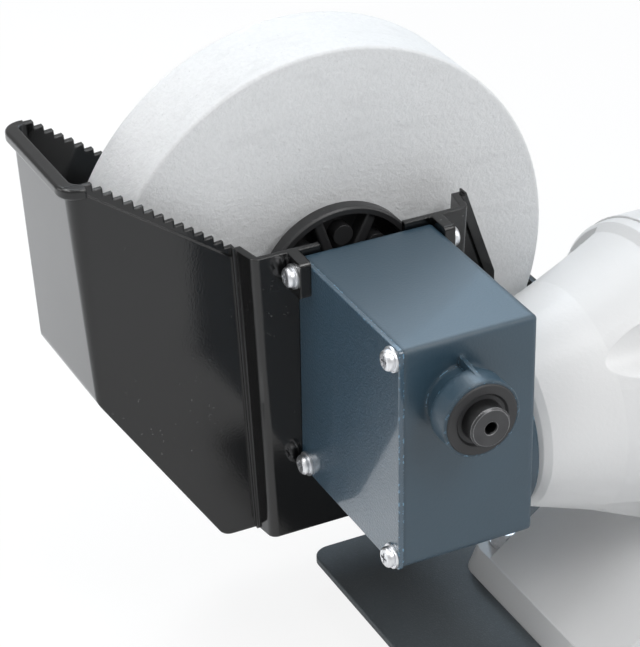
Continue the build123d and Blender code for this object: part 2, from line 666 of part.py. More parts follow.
def make_gearbox_housing():
    left, right = GEARBOX_LEFT, GEARBOX_RIGHT
    front, back = GEARBOX_FRONT, GEARBOX_BACK
    box = block(left, right, front, back, GEARBOX_BOTTOM, GEARBOX_TOP)
    rounded = [e for e in box.edges() if e.center().X > left + 0.1]
    box = fillet(rounded, 2.0)
    sump_left = left + 4.5
    sump_outer = SUMP_RADIUS + SUMP_WALL
    box += rod_x(sump_outer, sump_left, right, MOTOR_Y, MOTOR_Z) & block(
        left, right, front, back, MOTOR_Z - sump_outer, GEARBOX_BOTTOM + 8)
    box += rod_x(NOSE_FLANGE_RADIUS, right - 2, BELL_NOSE_X, MOTOR_Y, MOTOR_Z)
    box += turn_y([(front + 1, 0.0), (front + 1, NECK_RADIUS), (COLLAR_START, NECK_RADIUS),
                   (COLLAR_START, COLLAR_RADIUS), (BOSS_END + 0.4, COLLAR_RADIUS),
                   (BOSS_END, COLLAR_RADIUS - 0.4), (BOSS_END, 0.0)])
    fin_end = BOSS_END + 1.5
    box += prism_x([(front + 1, NECK_RADIUS - 1), (front + 1, COLLAR_RADIUS + 1.8),
                    (fin_end, COLLAR_RADIUS - 0.4), (fin_end, NECK_RADIUS - 1)], 0.2, 1.8)
    wall = GEARBOX_WALL
    hollow = block(left - 1, right - wall, front + wall, back - wall - 0.2,
                   GEARBOX_BOTTOM + wall, GEARBOX_TOP - wall)
    hollow = fillet(hollow.edges().filter_by(Axis.X), 2.0)
    hollow += rod_x(SUMP_RADIUS, sump_left + SUMP_WALL, right - wall, MOTOR_Y, MOTOR_Z) & block(
        left, right, front, back, MOTOR_Z - sump_outer, MOTOR_Z)
    gear_half = GEAR_FACE / 2 + 3.0
    hollow += rod_y(GEAR_PITCH_RADIUS + 3.0, MOTOR_Y - gear_half, MOTOR_Y + gear_half, 0, 0)
    boss_depth = 17.4
    for y, z in cover_screw_spots() + [(SCREW_BACK_Y, SCREW_TOP_Z)]:
        hollow -= rod_x(5.6, left - 2, left + boss_depth, y, z)
    hollow -= rod_x(5.6, right - 14, right, SCREW_BACK_Y, SCREW_TOP_Z)
    hollow -= rod_y(BUSH_RADIUS + 4.5, front, FRONT_BUSH_END, 0, 0)
    hollow -= rod_y(BUSH_RADIUS + 4.5, REAR_BUSH_START, back, 0, 0)
    box -= hollow
    box -= rod_y(BUSH_RADIUS, BOSS_END - 2, FRONT_BUSH_END + 1, 0, 0)
    box -= rod_y(SEAL_RADIUS, BOSS_END - 2, SEAL_SEAT, 0, 0)
    box -= rod_y(BUSH_RADIUS, REAR_BUSH_START - 3, back + 2, 0, 0)
    box -= rod_y(REAR_SEAL_RADIUS, REAR_SEAL_SEAT, back + 2, 0, 0)
    for y, z in cover_screw_spots() + [(SCREW_BACK_Y, SCREW_TOP_Z)]:
        box -= rod_x(2.5, left - 2, left + boss_depth - 2, y, z)
    box -= rod_x(2.5, right - 12, right + 2, SCREW_BACK_Y, SCREW_TOP_Z)
    box -= rod_x(12.0, right - wall - 1, right + 8, MOTOR_Y, MOTOR_Z)
    box -= rod_x(WORM_SEAL_RADIUS, right - 0.7, right + 8, MOTOR_Y, MOTOR_Z)
    for degrees in BOLT_ANGLES:
        y, z = around_motor(NOSE_BOLT_CIRCLE, degrees)
        box -= rod_x(2.75, right - wall - 2, right + 8, y, z)
    return box


def make_gearbox_cover():
    cover_bottom = GEARBOX_BOTTOM - 0.8
    cover = block(COVER_FACE, GEARBOX_LEFT, GEARBOX_FRONT, GEARBOX_BACK, cover_bottom, GEARBOX_TOP)
    cover = fillet(cover.edges().filter_by(Axis.X), 2.0)
    cover = fillet(cover.faces().sort_by(Axis.X)[0].edges(), 0.5)
    for y, z in cover_screw_spots() + [(SCREW_BACK_Y, SCREW_TOP_Z)]:
        cover -= rod_x(2.75, COVER_FACE - 1, GEARBOX_LEFT + 1, y, z)
    return cover


WASHER_THICKNESS = 1.0
TAB_THICKNESS = 4.8
TAB_OUT_LEFT = COVER_FACE - TAB_THICKNESS
TAB_OUT_RIGHT = GEARBOX_RIGHT + TAB_THICKNESS


def make_cover_screws():
    screw = pan_screw(2.5, 12.0, 4.3, 2.9)
    return joined(
        placed(screw, (COVER_FACE - WASHER_THICKNESS, y, z), (-1, 0, 0)) for y, z in cover_screw_spots())


def make_trough_screws():
    screw = pan_screw(2.5, 15.0, 4.3, 2.9)
    at = (SCREW_BACK_Y, SCREW_TOP_Z)
    return joined([
        placed(screw, (TAB_OUT_LEFT - WASHER_THICKNESS, *at), (-1, 0, 0)),
        placed(screw, (TAB_OUT_RIGHT + WASHER_THICKNESS, *at), (1, 0, 0)),
    ])


def make_screw_washers():
    washer = ring(5.2, 2.6, WASHER_THICKNESS)
    washers = [placed(washer, (COVER_FACE, y, z), (-1, 0, 0)) for y, z in cover_screw_spots()]
    at = (SCREW_BACK_Y, SCREW_TOP_Z)
    washers.append(placed(washer, (TAB_OUT_LEFT, *at), (-1, 0, 0)))
    washers.append(placed(washer, (TAB_OUT_RIGHT, *at), (1, 0, 0)))
    return joined(washers)


def make_gearbox_bolts():
    bolts = []
    screw = pan_screw(2.5, GEARBOX_WALL + 14.0, 4.4, 3.2)
    for degrees in BOLT_ANGLES:
        y, z = around_motor(NOSE_BOLT_CIRCLE, degrees)
        bolts.append(placed(screw, (GEARBOX_RIGHT - GEARBOX_WALL, y, z), (-1, 0, 0)))
    return joined(bolts)


def make_worm():
    root = WORM_PITCH_RADIUS - WORM_ROOT_DEPTH
    sunk = WORM_ROOT_DEPTH + 0.7
    tip = TOOTH_TIP
    flank = math.tan(math.radians(20.0))
    half = TOOTH_THICKNESS / 2
    middle = WORM_LEFT + WORM_LENGTH / 2
    turns = 3
    start = -turns * WORM_LEAD
    path = Helix(WORM_LEAD, 2 * turns * WORM_LEAD, WORM_PITCH_RADIUS, center=(0, 0, start))
    section = Plane(origin=(WORM_PITCH_RADIUS, 0, start), x_dir=(1, 0, 0), z_dir=(0, -1, 0)) * outline([
        (-sunk, -half - sunk * flank), (tip, -half + tip * flank),
        (tip, half - tip * flank), (-sunk, half + sunk * flank),
    ])
    thread = sweep(section, path=path, is_frenet=True)
    core = Pos(0, 0, middle) * Cylinder(root, WORM_LENGTH)
    worm = core + (thread & (Pos(0, 0, middle) * Cylinder(WORM_PITCH_RADIUS + 5, WORM_LENGTH)))
    worm -= Cylinder(WORM_BORE, 4 * WORM_LENGTH)
    return Pos(0, MOTOR_Y, MOTOR_Z) * Rot(0, 90, 0) * worm


def make_worm_nut():
    return placed(hex_nut(19.0, 5.5, WORM_STUB_RADIUS), (WORM_LEFT, MOTOR_Y, MOTOR_Z), (-1, 0, 0))


def make_worm_seal():
    inner = MOTOR_SHAFT_RADIUS + RUNNING_CLEARANCE
    return sleeve_x(WORM_SEAL_RADIUS, inner, GEARBOX_RIGHT - 0.7, BELL_NOSE_X)


def involute_flank(base, start, end, count):
    """Radius and turn angle of points along an involute."""
    points = []
    for index in range(count):
        radius = start + (end - start) * index / (count - 1)
        reach = math.sqrt(max(radius * radius / (base * base) - 1.0, 0.0))
        points.append((radius, reach - math.atan(reach)))
    return points


def make_worm_wheel():
    pitch = GEAR_PITCH_RADIUS
    base = pitch * math.cos(math.radians(20.0))
    tip = pitch + TOOTH_TIP
    root = pitch - 2.0
    flank = involute_flank(base, base + 0.02, tip, 6)
    at_pitch = involute_flank(base, pitch, pitch, 2)[0][1]
    half_angle = TOOTH_THICKNESS / 2 / pitch
    points = []
    for tooth in range(GEAR_TEETH):
        middle = -math.pi / 2 + tooth * 2 * math.pi / GEAR_TEETH
        widest = half_angle + at_pitch
        points.append((root, middle - widest))
        points.extend((r, middle - widest + a) for r, a in flank)
        points.extend((r, middle + widest - a) for r, a in reversed(flank))
        points.append((root, middle + widest))
    rim = [(r * math.cos(a), r * math.sin(a)) for r, a in points]
    y0 = MOTOR_Y - GEAR_FACE / 2
    wheel = prism_y(rim, y0, y0 + GEAR_FACE)
    wheel += rod_y(13.0, FRONT_BUSH_END + 9.8, REAR_BUSH_START - 0.8, 0, 0)
    wheel -= rod_y(STONE_SHAFT_RADIUS, MOTOR_Y - 40, MOTOR_Y + 40, 0, 0)
    return wheel - block(-KEY_WIDTH / 2, KEY_WIDTH / 2, MOTOR_Y - 40, MOTOR_Y + 40,
                         0.0, STONE_SHAFT_RADIUS + 2.3)


KEY_WIDTH = 5.0
KEY_LENGTH = 24.0


def make_wheel_key():
    return block(-KEY_WIDTH / 2, KEY_WIDTH / 2, MOTOR_Y - KEY_LENGTH / 2, MOTOR_Y + KEY_LENGTH / 2,
                 STONE_SHAFT_RADIUS - 3.0, STONE_SHAFT_RADIUS + 2.0)


SHAFT_FREE_END = SEAL_FACE - 6.4
SHAFT_THREAD_RADIUS = STONE_SHAFT_RADIUS - 0.5
SHAFT_SHOULDER = -FLANGE_DEPTH - 5.0
OUTER_FLANGE_DEPTH = 9.0
CLAMP_FACE = STONE_WIDTH + OUTER_FLANGE_DEPTH
STONE_WASHER = 1.8
SHAFT_NUT_END = CLAMP_FACE + 14.0


def make_stone_shaft():
    r = STONE_SHAFT_RADIUS
    free = SHAFT_FREE_END
    bevel = 0.8
    shoulder = GEARBOX_BACK + 0.6
    shaft = turn_y([
        (free, 0.0), (free, r - bevel), (free + bevel, r), (shoulder, r), (shoulder, r + 4.0),
        (SHAFT_SHOULDER, r + 4.0), (SHAFT_SHOULDER, r), (CLAMP_FACE, r), (CLAMP_FACE, SHAFT_THREAD_RADIUS),
        (SHAFT_NUT_END - 1, SHAFT_THREAD_RADIUS), (SHAFT_NUT_END, SHAFT_THREAD_RADIUS - 1),
        (SHAFT_NUT_END, 0.0),
    ])
    shaft -= rod_y(2.5, free - 1, free + 15, 0, 0)
    shaft -= turn_y([(free - 0.1, 0.0), (free - 0.1, 2.9), (free + 0.8, 2.45), (free + 0.8, 0.0)])
    return shaft - block(-KEY_WIDTH / 2, KEY_WIDTH / 2, MOTOR_Y - KEY_LENGTH / 2, MOTOR_Y + KEY_LENGTH / 2,
                         r - 3.0, r + 4)


def make_front_bush():
    return sleeve_y(BUSH_RADIUS, STONE_SHAFT_RADIUS + RUNNING_CLEARANCE, SEAL_SEAT, FRONT_BUSH_END)


def make_rear_bush():
    return sleeve_y(BUSH_RADIUS, STONE_SHAFT_RADIUS + RUNNING_CLEARANCE, REAR_BUSH_START, REAR_SEAL_SEAT)


def make_front_seal():
    inner = STONE_SHAFT_RADIUS + RUNNING_CLEARANCE
    face = SEAL_FACE
    return turn_y([
        (SEAL_SEAT, inner), (SEAL_SEAT, SEAL_RADIUS), (face + 0.6, SEAL_RADIUS), (face, SEAL_RADIUS - 0.6),
        (face, 11.2), (face + 0.9, 10.4), (face + 0.9, inner),
    ])


def make_rear_seal():
    inner = STONE_SHAFT_RADIUS + RUNNING_CLEARANCE
    return sleeve_y(REAR_SEAL_RADIUS, inner, REAR_SEAL_SEAT, GEARBOX_BACK)


# Wet stone and its clamp


def make_grinding_stone():
    edge = 0.8
    return turn_y([
        (0.0, STONE_BORE), (STONE_WIDTH, STONE_BORE), (STONE_WIDTH, STONE_RADIUS - edge),
        (STONE_WIDTH - edge, STONE_RADIUS), (edge, STONE_RADIUS), (0.0, STONE_RADIUS - edge),
    ])


RIB_COUNT = 8
RIB_START = 18.5


def make_stone_flange_inner():
    rim = 3.0
    web = 3.5
    hub = 13.5
    spigot = 11.0
    taper = 5.0
    flange = turn_y([
        (SHAFT_SHOULDER, STONE_SHAFT_RADIUS), (spigot, STONE_SHAFT_RADIUS), (spigot, STONE_BORE),
        (0.0, STONE_BORE), (0.0, FLANGE_RADIUS - taper), (-FLANGE_DEPTH / 2, FLANGE_RADIUS),
        (-FLANGE_DEPTH + 0.8, FLANGE_RADIUS), (-FLANGE_DEPTH, FLANGE_RADIUS - 0.8),
        (-FLANGE_DEPTH, FLANGE_RADIUS - rim), (-web, FLANGE_RADIUS - rim - 1.3), (-web, hub),
        (SHAFT_SHOULDER, hub - 0.6),
    ])
    for index in range(RIB_COUNT):
        angle = RIB_START + index * 360.0 / RIB_COUNT
        rib = block(hub - 1.5, FLANGE_RADIUS - rim + 0.2, -FLANGE_DEPTH + 1.4, -web + 0.5, -2.3, 2.3)
        rib = fillet(rib.edges().filter_by(Axis.X).group_by(Axis.Y)[0], 1.2)
        flange += Rot(0, -angle, 0) * rib
    for index in range(RIB_COUNT):
        angle = math.radians(RIB_START + (index + 0.5) * 360.0 / RIB_COUNT)
        flange += rod_y(4.4, -9.5, -web + 0.5, 22.3 * math.cos(angle), 22.3 * math.sin(angle))
    return flange


def make_stone_flange_outer():
    rim = 3.0
    face = STONE_WIDTH
    depth = OUTER_FLANGE_DEPTH
    return turn_y([
        (face - 11.0, STONE_SHAFT_RADIUS), (face + depth, STONE_SHAFT_RADIUS), (face + depth, 15.5),
        (face + 4.0, 16.5), (face + 4.0, FLANGE_RADIUS - rim - 0.6), (face + depth - 1, FLANGE_RADIUS - rim),
        (face + depth - 1, FLANGE_RADIUS - 0.8), (face + depth - 1.8, FLANGE_RADIUS), (face, FLANGE_RADIUS),
        (face, STONE_BORE), (face - 11.0, STONE_BORE),
    ])


def make_stone_washer():
    return placed(ring(15.0, SHAFT_THREAD_RADIUS + 0.2, STONE_WASHER), (0, CLAMP_FACE, 0), (0, 1, 0))


def make_stone_nut():
    nut = hex_nut(24.0, 9.5, SHAFT_THREAD_RADIUS)
    return placed(nut, (0, CLAMP_FACE + STONE_WASHER, 0), (0, 1, 0))


# Water trough

TOOTH_COUNT = 15
TOOTH_START = (-TROUGH_END - 0.5, TROUGH_RIM - 0.1)
TOOTH_END = (-48.0, 27.6)


def tooth_points():
    """Stair-like saw teeth falling along the sloped rim."""
    run = (TOOTH_END[0] - TOOTH_START[0]) / TOOTH_COUNT
    fall = (TOOTH_END[1] - TOOTH_START[1]) / TOOTH_COUNT
    points = []
    for index in range(TOOTH_COUNT):
        x = TOOTH_START[0] + index * run
        z = TOOTH_START[1] + index * fall
        points.append((x, z))
        points.append((x + run * 0.92, z + 0.35))
    points.append(TOOTH_END)
    return points


END_FOOT = 75.0 - STONE_RADIUS
END_LEAN = 0.0665


def end_wall_x(z):
    """Outer face of the leaning end wall at a height."""
    return -TROUGH_END - END_LEAN * (z - END_FOOT)


def end_corner(inset, low_radius, high_radius):
    """Wedges outside the two rounded upright corners of the trough's end."""
    wedges = []
    low, high = END_FOOT - 6.0, STONE_RADIUS
    for y, inward in ((TROUGH_FRONT + inset, 1.0), (TROUGH_BACK - inset, -1.0)):
        sections = []
        for z, radius in ((low, low_radius), (high, high_radius)):
            x = end_wall_x(z) + inset
            square = outline([(x - 1, y - inward), (x + radius, y - inward),
                              (x + radius, y + inward * radius), (x - 1, y + inward * radius)])
            square -= Pos(x + radius, y + inward * radius) * Circle(radius)
            sections.append(Plane.XY.offset(z) * square)
        wedges.append(loft(sections))
    return wedges


def end_lip():
    """Rounded bead round the rim of the trough's end."""
    low = TROUGH_RIM - 4.8
    reach = 2.2
    x0, x1 = -TROUGH_END - 9.7, -TROUGH_END
    band = outline([(x0, TROUGH_FRONT - reach), (x1, TROUGH_FRONT - reach),
                    (x1, TROUGH_BACK + reach), (x0, TROUGH_BACK + reach)])
    band = fillet([v for v in band.vertices() if v.X < x0 + 1], 8.7)
    bead = extrude(Plane.XY.offset(low) * band, TROUGH_RIM - low, dir=(0, 0, 1))
    level = [e for e in bead.edges() if abs(e.tangent_at(0.5).Z) < 0.1 and e.center().X < x1 - 0.5]
    return fillet(level, 1.3)


def trough_outline(inset):
    """Trough section in X and Z, carried up past the rim, set in by a wall."""
    right = TROUGH_END + 0.5
    top = STONE_RADIUS + 30.0
    face = outline([
        (end_wall_x(top), top), (-TROUGH_END, END_FOOT), (43.0 - STONE_RADIUS, TROUGH_FLOOR),
        (STONE_RADIUS - 34.0, TROUGH_FLOOR), (right, 60.0 - STONE_RADIUS), (right, top),
    ])
    low = [v for v in face.vertices() if v.Y < 0]
    face = fillet(low, 7.0)
    if inset:
        face = offset(face, -inset)
    return face


def pocket_loft(inset):
    """Pocket of the trough that reaches the gearbox, tapered to its foot."""
    floor = TROUGH_FLOOR + inset
    top = 60.0
    front = POCKET_FRONT + inset
    back = TROUGH_FRONT + inset * 1.6
    lean = inset * 1.1

    def quad(half_top, half_floor, y):
        spread = (half_top - half_floor) / (POCKET_TOP - TROUGH_FLOOR)
        wide = half_top + spread * (top - POCKET_TOP) - lean
        narrow = half_floor + spread * inset - lean
        mid = POCKET_MID_X
        return plane_xz(y) * outline([(mid - narrow, floor), (mid + narrow, floor),
                                      (mid + wide, top), (mid - wide, top)])

    return loft([quad(51.0, 44.9, back), quad(48.6, 43.4, front)])


def make_water_trough():
    wall = TROUGH_WALL
    shell = extrude(plane_xz(TROUGH_BACK) * trough_outline(0.0), TROUGH_BACK - TROUGH_FRONT,
                    dir=(0, -1, 0))
    hollow = extrude(plane_xz(TROUGH_BACK - wall) * trough_outline(wall),
                     TROUGH_BACK - TROUGH_FRONT - 2 * wall, dir=(0, -1, 0))
    far = STONE_RADIUS + 40.0
    high = STONE_RADIUS + 100.0
    before = POCKET_FRONT - 30.0
    behind = TROUGH_BACK + 40.0
    clip_x = 80.0
    clip_slope = (MOTOR_Y + HOUSING_RADIUS + 0.5 - TROUGH_FRONT) / 30.0
    reach = far - clip_x
    corner = [(clip_x, TROUGH_FRONT), (far, TROUGH_FRONT + clip_slope * reach),
              (far, before), (clip_x, before)]
    along = [(x, y + wall * 1.1) for x, y in corner]
    under = Plane.XY.offset(TROUGH_FLOOR - 20)
    shell -= extrude(under * outline(corner), high - TROUGH_FLOOR, dir=(0, 0, 1))
    hollow -= extrude(under * outline(along), high - TROUGH_FLOOR, dir=(0, 0, 1))
    shell -= end_corner(0.0, 2.0, 7.5)
    hollow -= end_corner(wall, 0.8, 5.0)
    band_depth = 0.7
    shell -= prism_y([(-TROUGH_END, 69.0), (-49.3, 26.4), (-49.3, TROUGH_RIM), (-TROUGH_END, far)],
                     TROUGH_FRONT - 1, TROUGH_FRONT + band_depth)
    pocket = pocket_loft(0.0)
    upright = [e for e in pocket.edges()
               if abs(e.center().Y - POCKET_FRONT) < 0.1 and abs(e.tangent_at(0.5).Z) > 0.9]
    pocket = fillet(upright, 3.5)
    shell += pocket
    shell += prism_y([(-50.0, 40.0), (-48.2, 40.0), (-40.7, TROUGH_FLOOR), (-42.5, TROUGH_FLOOR)],
                     TROUGH_FRONT - 1.6, TROUGH_FRONT)
    shell += end_lip()
    edge_lip = [(51.5, 30.5), (56.0, 30.5), (76.4, -28.0), (71.9, -28.0)]
    shell += prism_y(edge_lip, TROUGH_FRONT - 2.0, TROUGH_FRONT)
    trough = shell - hollow - pocket_loft(wall)
    right_edge = [(56.0, 30.5), (57.0, 27.8), (63.8, 7.8), (71.8, -14.8), (80.6, SIDE_RIM), (far, SIDE_RIM)]
    over = [(far, far), (-far, far), (-far, TOOTH_START[1])]
    wall_top = TOOTH_END[1]
    lip_x = 55.2
    pocket_rim = [(TOOTH_END[0], POCKET_TOP), (lip_x, POCKET_TOP), (lip_x, 30.5)]
    near_top = tooth_points() + pocket_rim + right_edge + over
    trough -= prism_y(near_top, before, TROUGH_FRONT + wall + 0.01)
    notch_floor = -3.0
    notch_radius = 19.5
    far_notch = [(-notch_radius - 2.5, wall_top)]
    for index in range(13):
        angle = math.radians(180.0 + index * 15.0)
        far_notch.append((notch_radius * math.cos(angle), notch_floor + notch_radius * math.sin(angle)))
    far_notch.append((notch_radius + 2.5, wall_top))
    far_top = tooth_points() + far_notch + [(lip_x, wall_top)] + right_edge[1:] + over
    trough -= prism_y(far_top, TROUGH_BACK - wall - 0.01, behind)
    trough -= block(-far, far, before, behind, TROUGH_RIM, high)
    trough -= block(70.0, far, before, behind, SIDE_RIM, high)
    near_half = 19.0
    near_notch = rod_y(near_half, POCKET_FRONT - 2, POCKET_FRONT + 5, POCKET_MID_X, 0.0)
    near_notch += block(POCKET_MID_X - near_half, POCKET_MID_X + near_half,
                        POCKET_FRONT - 2, POCKET_FRONT + 5, 0.0, 60.0)
    trough -= near_notch
    tab_front = POCKET_FRONT - 11.5
    left_tab = block(TAB_OUT_LEFT, COVER_FACE, tab_front, POCKET_FRONT + wall, 12.8, POCKET_TOP)
    right_tab = block(GEARBOX_RIGHT, TAB_OUT_RIGHT, tab_front, POCKET_FRONT + wall, 12.8, POCKET_TOP)
    for tab in (left_tab, right_tab):
        ends = [e for e in tab.edges().filter_by(Axis.X) if e.center().Y < POCKET_FRONT - 5]
        trough += fillet(ends, 2.0)
    trough -= rod_x(2.75, TAB_OUT_LEFT - 2, COVER_FACE + 0.01, SCREW_BACK_Y, SCREW_TOP_Z)
    trough -= rod_x(2.75, GEARBOX_RIGHT - 0.01, TAB_OUT_RIGHT + 2, SCREW_BACK_Y, SCREW_TOP_Z)
    return trough


# Dry wheel, guard, tool rest and eye shield


def make_dry_wheel():
    x0 = DRY_WHEEL_X
    x1 = x0 + DRY_WHEEL_WIDTH
    rim = DRY_WHEEL_RADIUS
    return turn_x([(x0, DRY_BORE), (x1, DRY_BORE), (x1, rim - 0.8), (x1 - 0.8, rim),
                   (x0 + 0.8, rim), (x0, rim - 0.8)])


def make_dry_flanges():
    x0 = DRY_WHEEL_X
    x1 = x0 + DRY_WHEEL_WIDTH
    width = DRY_FLANGE_WIDTH
    inner = turn_x([(x0 - width, DRY_BORE), (x0 - 0.8, DRY_BORE), (x0 - 0.8, 20.0), (x0, 20.0), (x0, 28.0),
                    (x0 - 1.5, 28.0), (x0 - width, 18.0)])
    outer = turn_x([(x1 + width, DRY_BORE), (x1 + 0.8, DRY_BORE), (x1 + 0.8, 20.0), (x1, 20.0), (x1, 28.0),
                    (x1 + 1.5, 28.0), (x1 + width, 18.0)])
    return joined([inner, outer])


def make_dry_nut():
    at = DRY_WHEEL_X + DRY_WHEEL_WIDTH + DRY_FLANGE_WIDTH
    return placed(hex_nut(19.0, 8.0, DRY_BORE), (at, MOTOR_Y, MOTOR_Z), (1, 0, 0))


MOUTH_LOW = -14.0
MOUTH_HIGH = 62.0
GUARD_LUGS = (88.0, 160.0, 240.0)
LUG_CIRCLE = GUARD_RADIUS + 2.0
LUG_RADIUS = 5.0


def mouth_cut(x0, x1, keep_radius):
    """Wedge of the guard's mouth on the operator's side."""
    reach = GUARD_RADIUS + 60.0
    corners = [(MOTOR_Y, MOTOR_Z), around_motor(reach, MOUTH_LOW),
               around_motor(reach + 20.0, (MOUTH_LOW + MOUTH_HIGH) / 2), around_motor(reach, MOUTH_HIGH)]
    wedge = prism_x(corners, x0, x1)
    return wedge - rod_x(keep_radius, x0 - 1, x1 + 1, MOTOR_Y, MOTOR_Z)


def make_guard_body():
    x0 = GUARD_X
    x1 = GUARD_COVER_X
    plate_cut = mouth_cut(x0 - 1, x0 + 4, GUARD_HUB_RADIUS)
    plate = rod_x(GUARD_RADIUS, x0, x0 + GUARD_SHEET, MOTOR_Y, MOTOR_Z) - plate_cut
    band = sleeve_x(GUARD_RADIUS, GUARD_RADIUS - GUARD_SHEET, x0, x1) - mouth_cut(x0 - 1, x1 + 1, 5.0)
    guard = plate + band
    inside = rod_x(GUARD_RADIUS - GUARD_SHEET, x0 + GUARD_SHEET, x1 + 1, MOTOR_Y, MOTOR_Z)
    for degrees in GUARD_LUGS:
        y, z = around_motor(LUG_CIRCLE, degrees)
        guard += rod_x(LUG_RADIUS, x0, x1, y, z) - inside
        guard -= rod_x(2.0, x1 - 14, x1 + 1, y, z)
    guard -= rod_x(14.0, x0 - 1, x0 + 4, MOTOR_Y, MOTOR_Z)
    for degrees in BOLT_ANGLES:
        y, z = around_motor(NOSE_BOLT_CIRCLE, degrees)
        guard -= rod_x(2.75, x0 - 1, x0 + 4, y, z)
    return guard


def make_guard_cover():
    x0 = GUARD_COVER_X
    x1 = x0 + GUARD_COVER_SHEET
    cover = rod_x(GUARD_RADIUS, x0, x1, MOTOR_Y, MOTOR_Z) - mouth_cut(x0 - 1, x1 + 2, GUARD_HUB_RADIUS)
    for degrees in GUARD_LUGS:
        y, z = around_motor(LUG_CIRCLE, degrees)
        cover += rod_x(LUG_RADIUS, x0, x1, y, z)
        cover -= rod_x(2.2, x0 - 1, x1 + 2, y, z)
    return cover


def make_guard_screws():
    screws = []
    cover_screw = pan_screw(2.0, 14.0, 3.6, 2.4)
    for degrees in GUARD_LUGS:
        y, z = around_motor(LUG_CIRCLE, degrees)
        screws.append(placed(cover_screw, (GUARD_COVER_X + GUARD_COVER_SHEET, y, z), (1, 0, 0)))
    mount_screw = pan_screw(2.5, 14.0, 4.4, 3.0)
    for degrees in BOLT_ANGLES:
        y, z = around_motor(NOSE_BOLT_CIRCLE, degrees)
        screws.append(placed(mount_screw, (GUARD_X + GUARD_SHEET, y, z), (1, 0, 0)))
    return joined(screws)


REST_OVERHANG = 6.0
REST_X0 = DRY_WHEEL_X - REST_OVERHANG
REST_X1 = DRY_WHEEL_X + DRY_WHEEL_WIDTH + REST_OVERHANG
REST_MID_X = (REST_X0 + REST_X1) / 2
REST_FOOT_Z = MOTOR_Z - 51.0
REST_BOLT_Y = GUARD_REACH_Y + 9.0
REST_UPRIGHT_Y = GUARD_REACH_Y + 27.0
REST_FRONT_Y = GUARD_REACH_Y + 29.0
REST_SHEET = 4.0
REST_TRAVEL = 8.0


def make_rest_bracket():
    shoe = block(REST_X0, REST_X1, GUARD_REACH_Y - 31, GUARD_REACH_Y - 3, REST_FOOT_Z - 22, REST_FOOT_Z)
    shoe -= rod_x(GUARD_RADIUS, REST_X0 - 1, REST_X1 + 1, MOTOR_Y, MOTOR_Z)
    shoe += block(REST_X0, REST_X1, GUARD_REACH_Y - 9, REST_FRONT_Y, REST_FOOT_Z - 5, REST_FOOT_Z)
    return shoe - rod_z(4.0 + RUNNING_CLEARANCE, REST_FOOT_Z - 30, REST_FOOT_Z + 2, REST_MID_X, REST_BOLT_Y)


def make_tool_rest():
    upright = REST_UPRIGHT_Y
    foot_top = REST_FOOT_Z + REST_SHEET
    table_top = MOTOR_Z - 1.0
    table_back = MOTOR_Y + DRY_WHEEL_RADIUS + 2.0
    rest = block(REST_X0, REST_X1, GUARD_REACH_Y - 3.5, upright, REST_FOOT_Z, foot_top)
    rest += block(REST_X0, REST_X1, upright - REST_SHEET, upright, REST_FOOT_Z, table_top)
    rest += block(REST_X0 - 3, REST_X1 + 3, table_back, REST_FRONT_Y, table_top - REST_SHEET, table_top)
    bends = [e for e in rest.edges().filter_by(Axis.X) if abs(e.center().Y - upright) < 0.1
             and abs(e.center().Z - REST_FOOT_Z) < 0.1]
    rest = fillet(bends, 2.5)
    slot = rod_z(4.3, REST_FOOT_Z - 1, foot_top + 1, REST_MID_X, REST_BOLT_Y - REST_TRAVEL)
    slot += rod_z(4.3, REST_FOOT_Z - 1, foot_top + 1, REST_MID_X, REST_BOLT_Y)
    slot += block(REST_MID_X - 4.3, REST_MID_X + 4.3, REST_BOLT_Y - REST_TRAVEL, REST_BOLT_Y,
                  REST_FOOT_Z - 1, foot_top + 1)
    groove = block(REST_MID_X - 4, REST_MID_X + 4, table_back + 4, REST_FRONT_Y + 1,
                   table_top - 1.2, table_top + 1)
    return rest - slot - groove


def make_rest_knob():
    seat = REST_FOOT_Z + REST_SHEET
    knob = Pos(0, 0, 1.5) * Cylinder(11.0, 13.0, align=(Align.CENTER, Align.CENTER, Align.MIN))
    for index in range(6):
        knob -= Rot(0, 0, index * 60.0) * (Pos(12.5, 0, 8) * Cylinder(3.6, 20.0))
    knob = knob + Cylinder(7.0, 3.0, align=(Align.CENTER, Align.CENTER, Align.MIN))
    knob += Cylinder(4.0, 12.0, align=(Align.CENTER, Align.CENTER, Align.MAX))
    return Pos(REST_MID_X, REST_BOLT_Y, seat) * knob


HINGE_Y = MOTOR_Y + 41.5
HINGE_Z = GUARD_TOP + 5.5
SHIELD_OVERHANG = 15.0
SHIELD_X0 = REST_X0 - SHIELD_OVERHANG
SHIELD_X1 = REST_X1 + SHIELD_OVERHANG


def make_shield_arm():
    arm = block(REST_X0, REST_X1, MOTOR_Y + 13.5, HINGE_Y - 4.5, GUARD_TOP - 17.5, HINGE_Z + 5)
    arm -= rod_x(GUARD_RADIUS, REST_X0 - 1, REST_X1 + 1, MOTOR_Y, MOTOR_Z)
    slope = [(MOTOR_Y + 5.5, HINGE_Z - 9), (MOTOR_Y + 5.5, HINGE_Z + 17), (HINGE_Y - 2, HINGE_Z + 17),
             (HINGE_Y - 10, HINGE_Z + 6)]
    arm -= prism_x(slope, REST_X0 - 1, REST_X1 + 1)
    for x0, x1 in ((REST_X0, REST_X0 + 6.0), (REST_X1 - 6.0, REST_X1)):
        ear = rod_x(6.0, x0, x1, HINGE_Y, HINGE_Z)
        arm += ear + block(x0, x1, HINGE_Y - 8, HINGE_Y, HINGE_Z - 6, HINGE_Z + 3)
    arm -= rod_x(6.6, REST_X0 + 6.0, REST_X1 - 6.0, HINGE_Y, HINGE_Z)
    return arm - rod_x(2.5 + RUNNING_CLEARANCE, REST_X0 - 1, REST_X1 + 1, HINGE_Y, HINGE_Z)


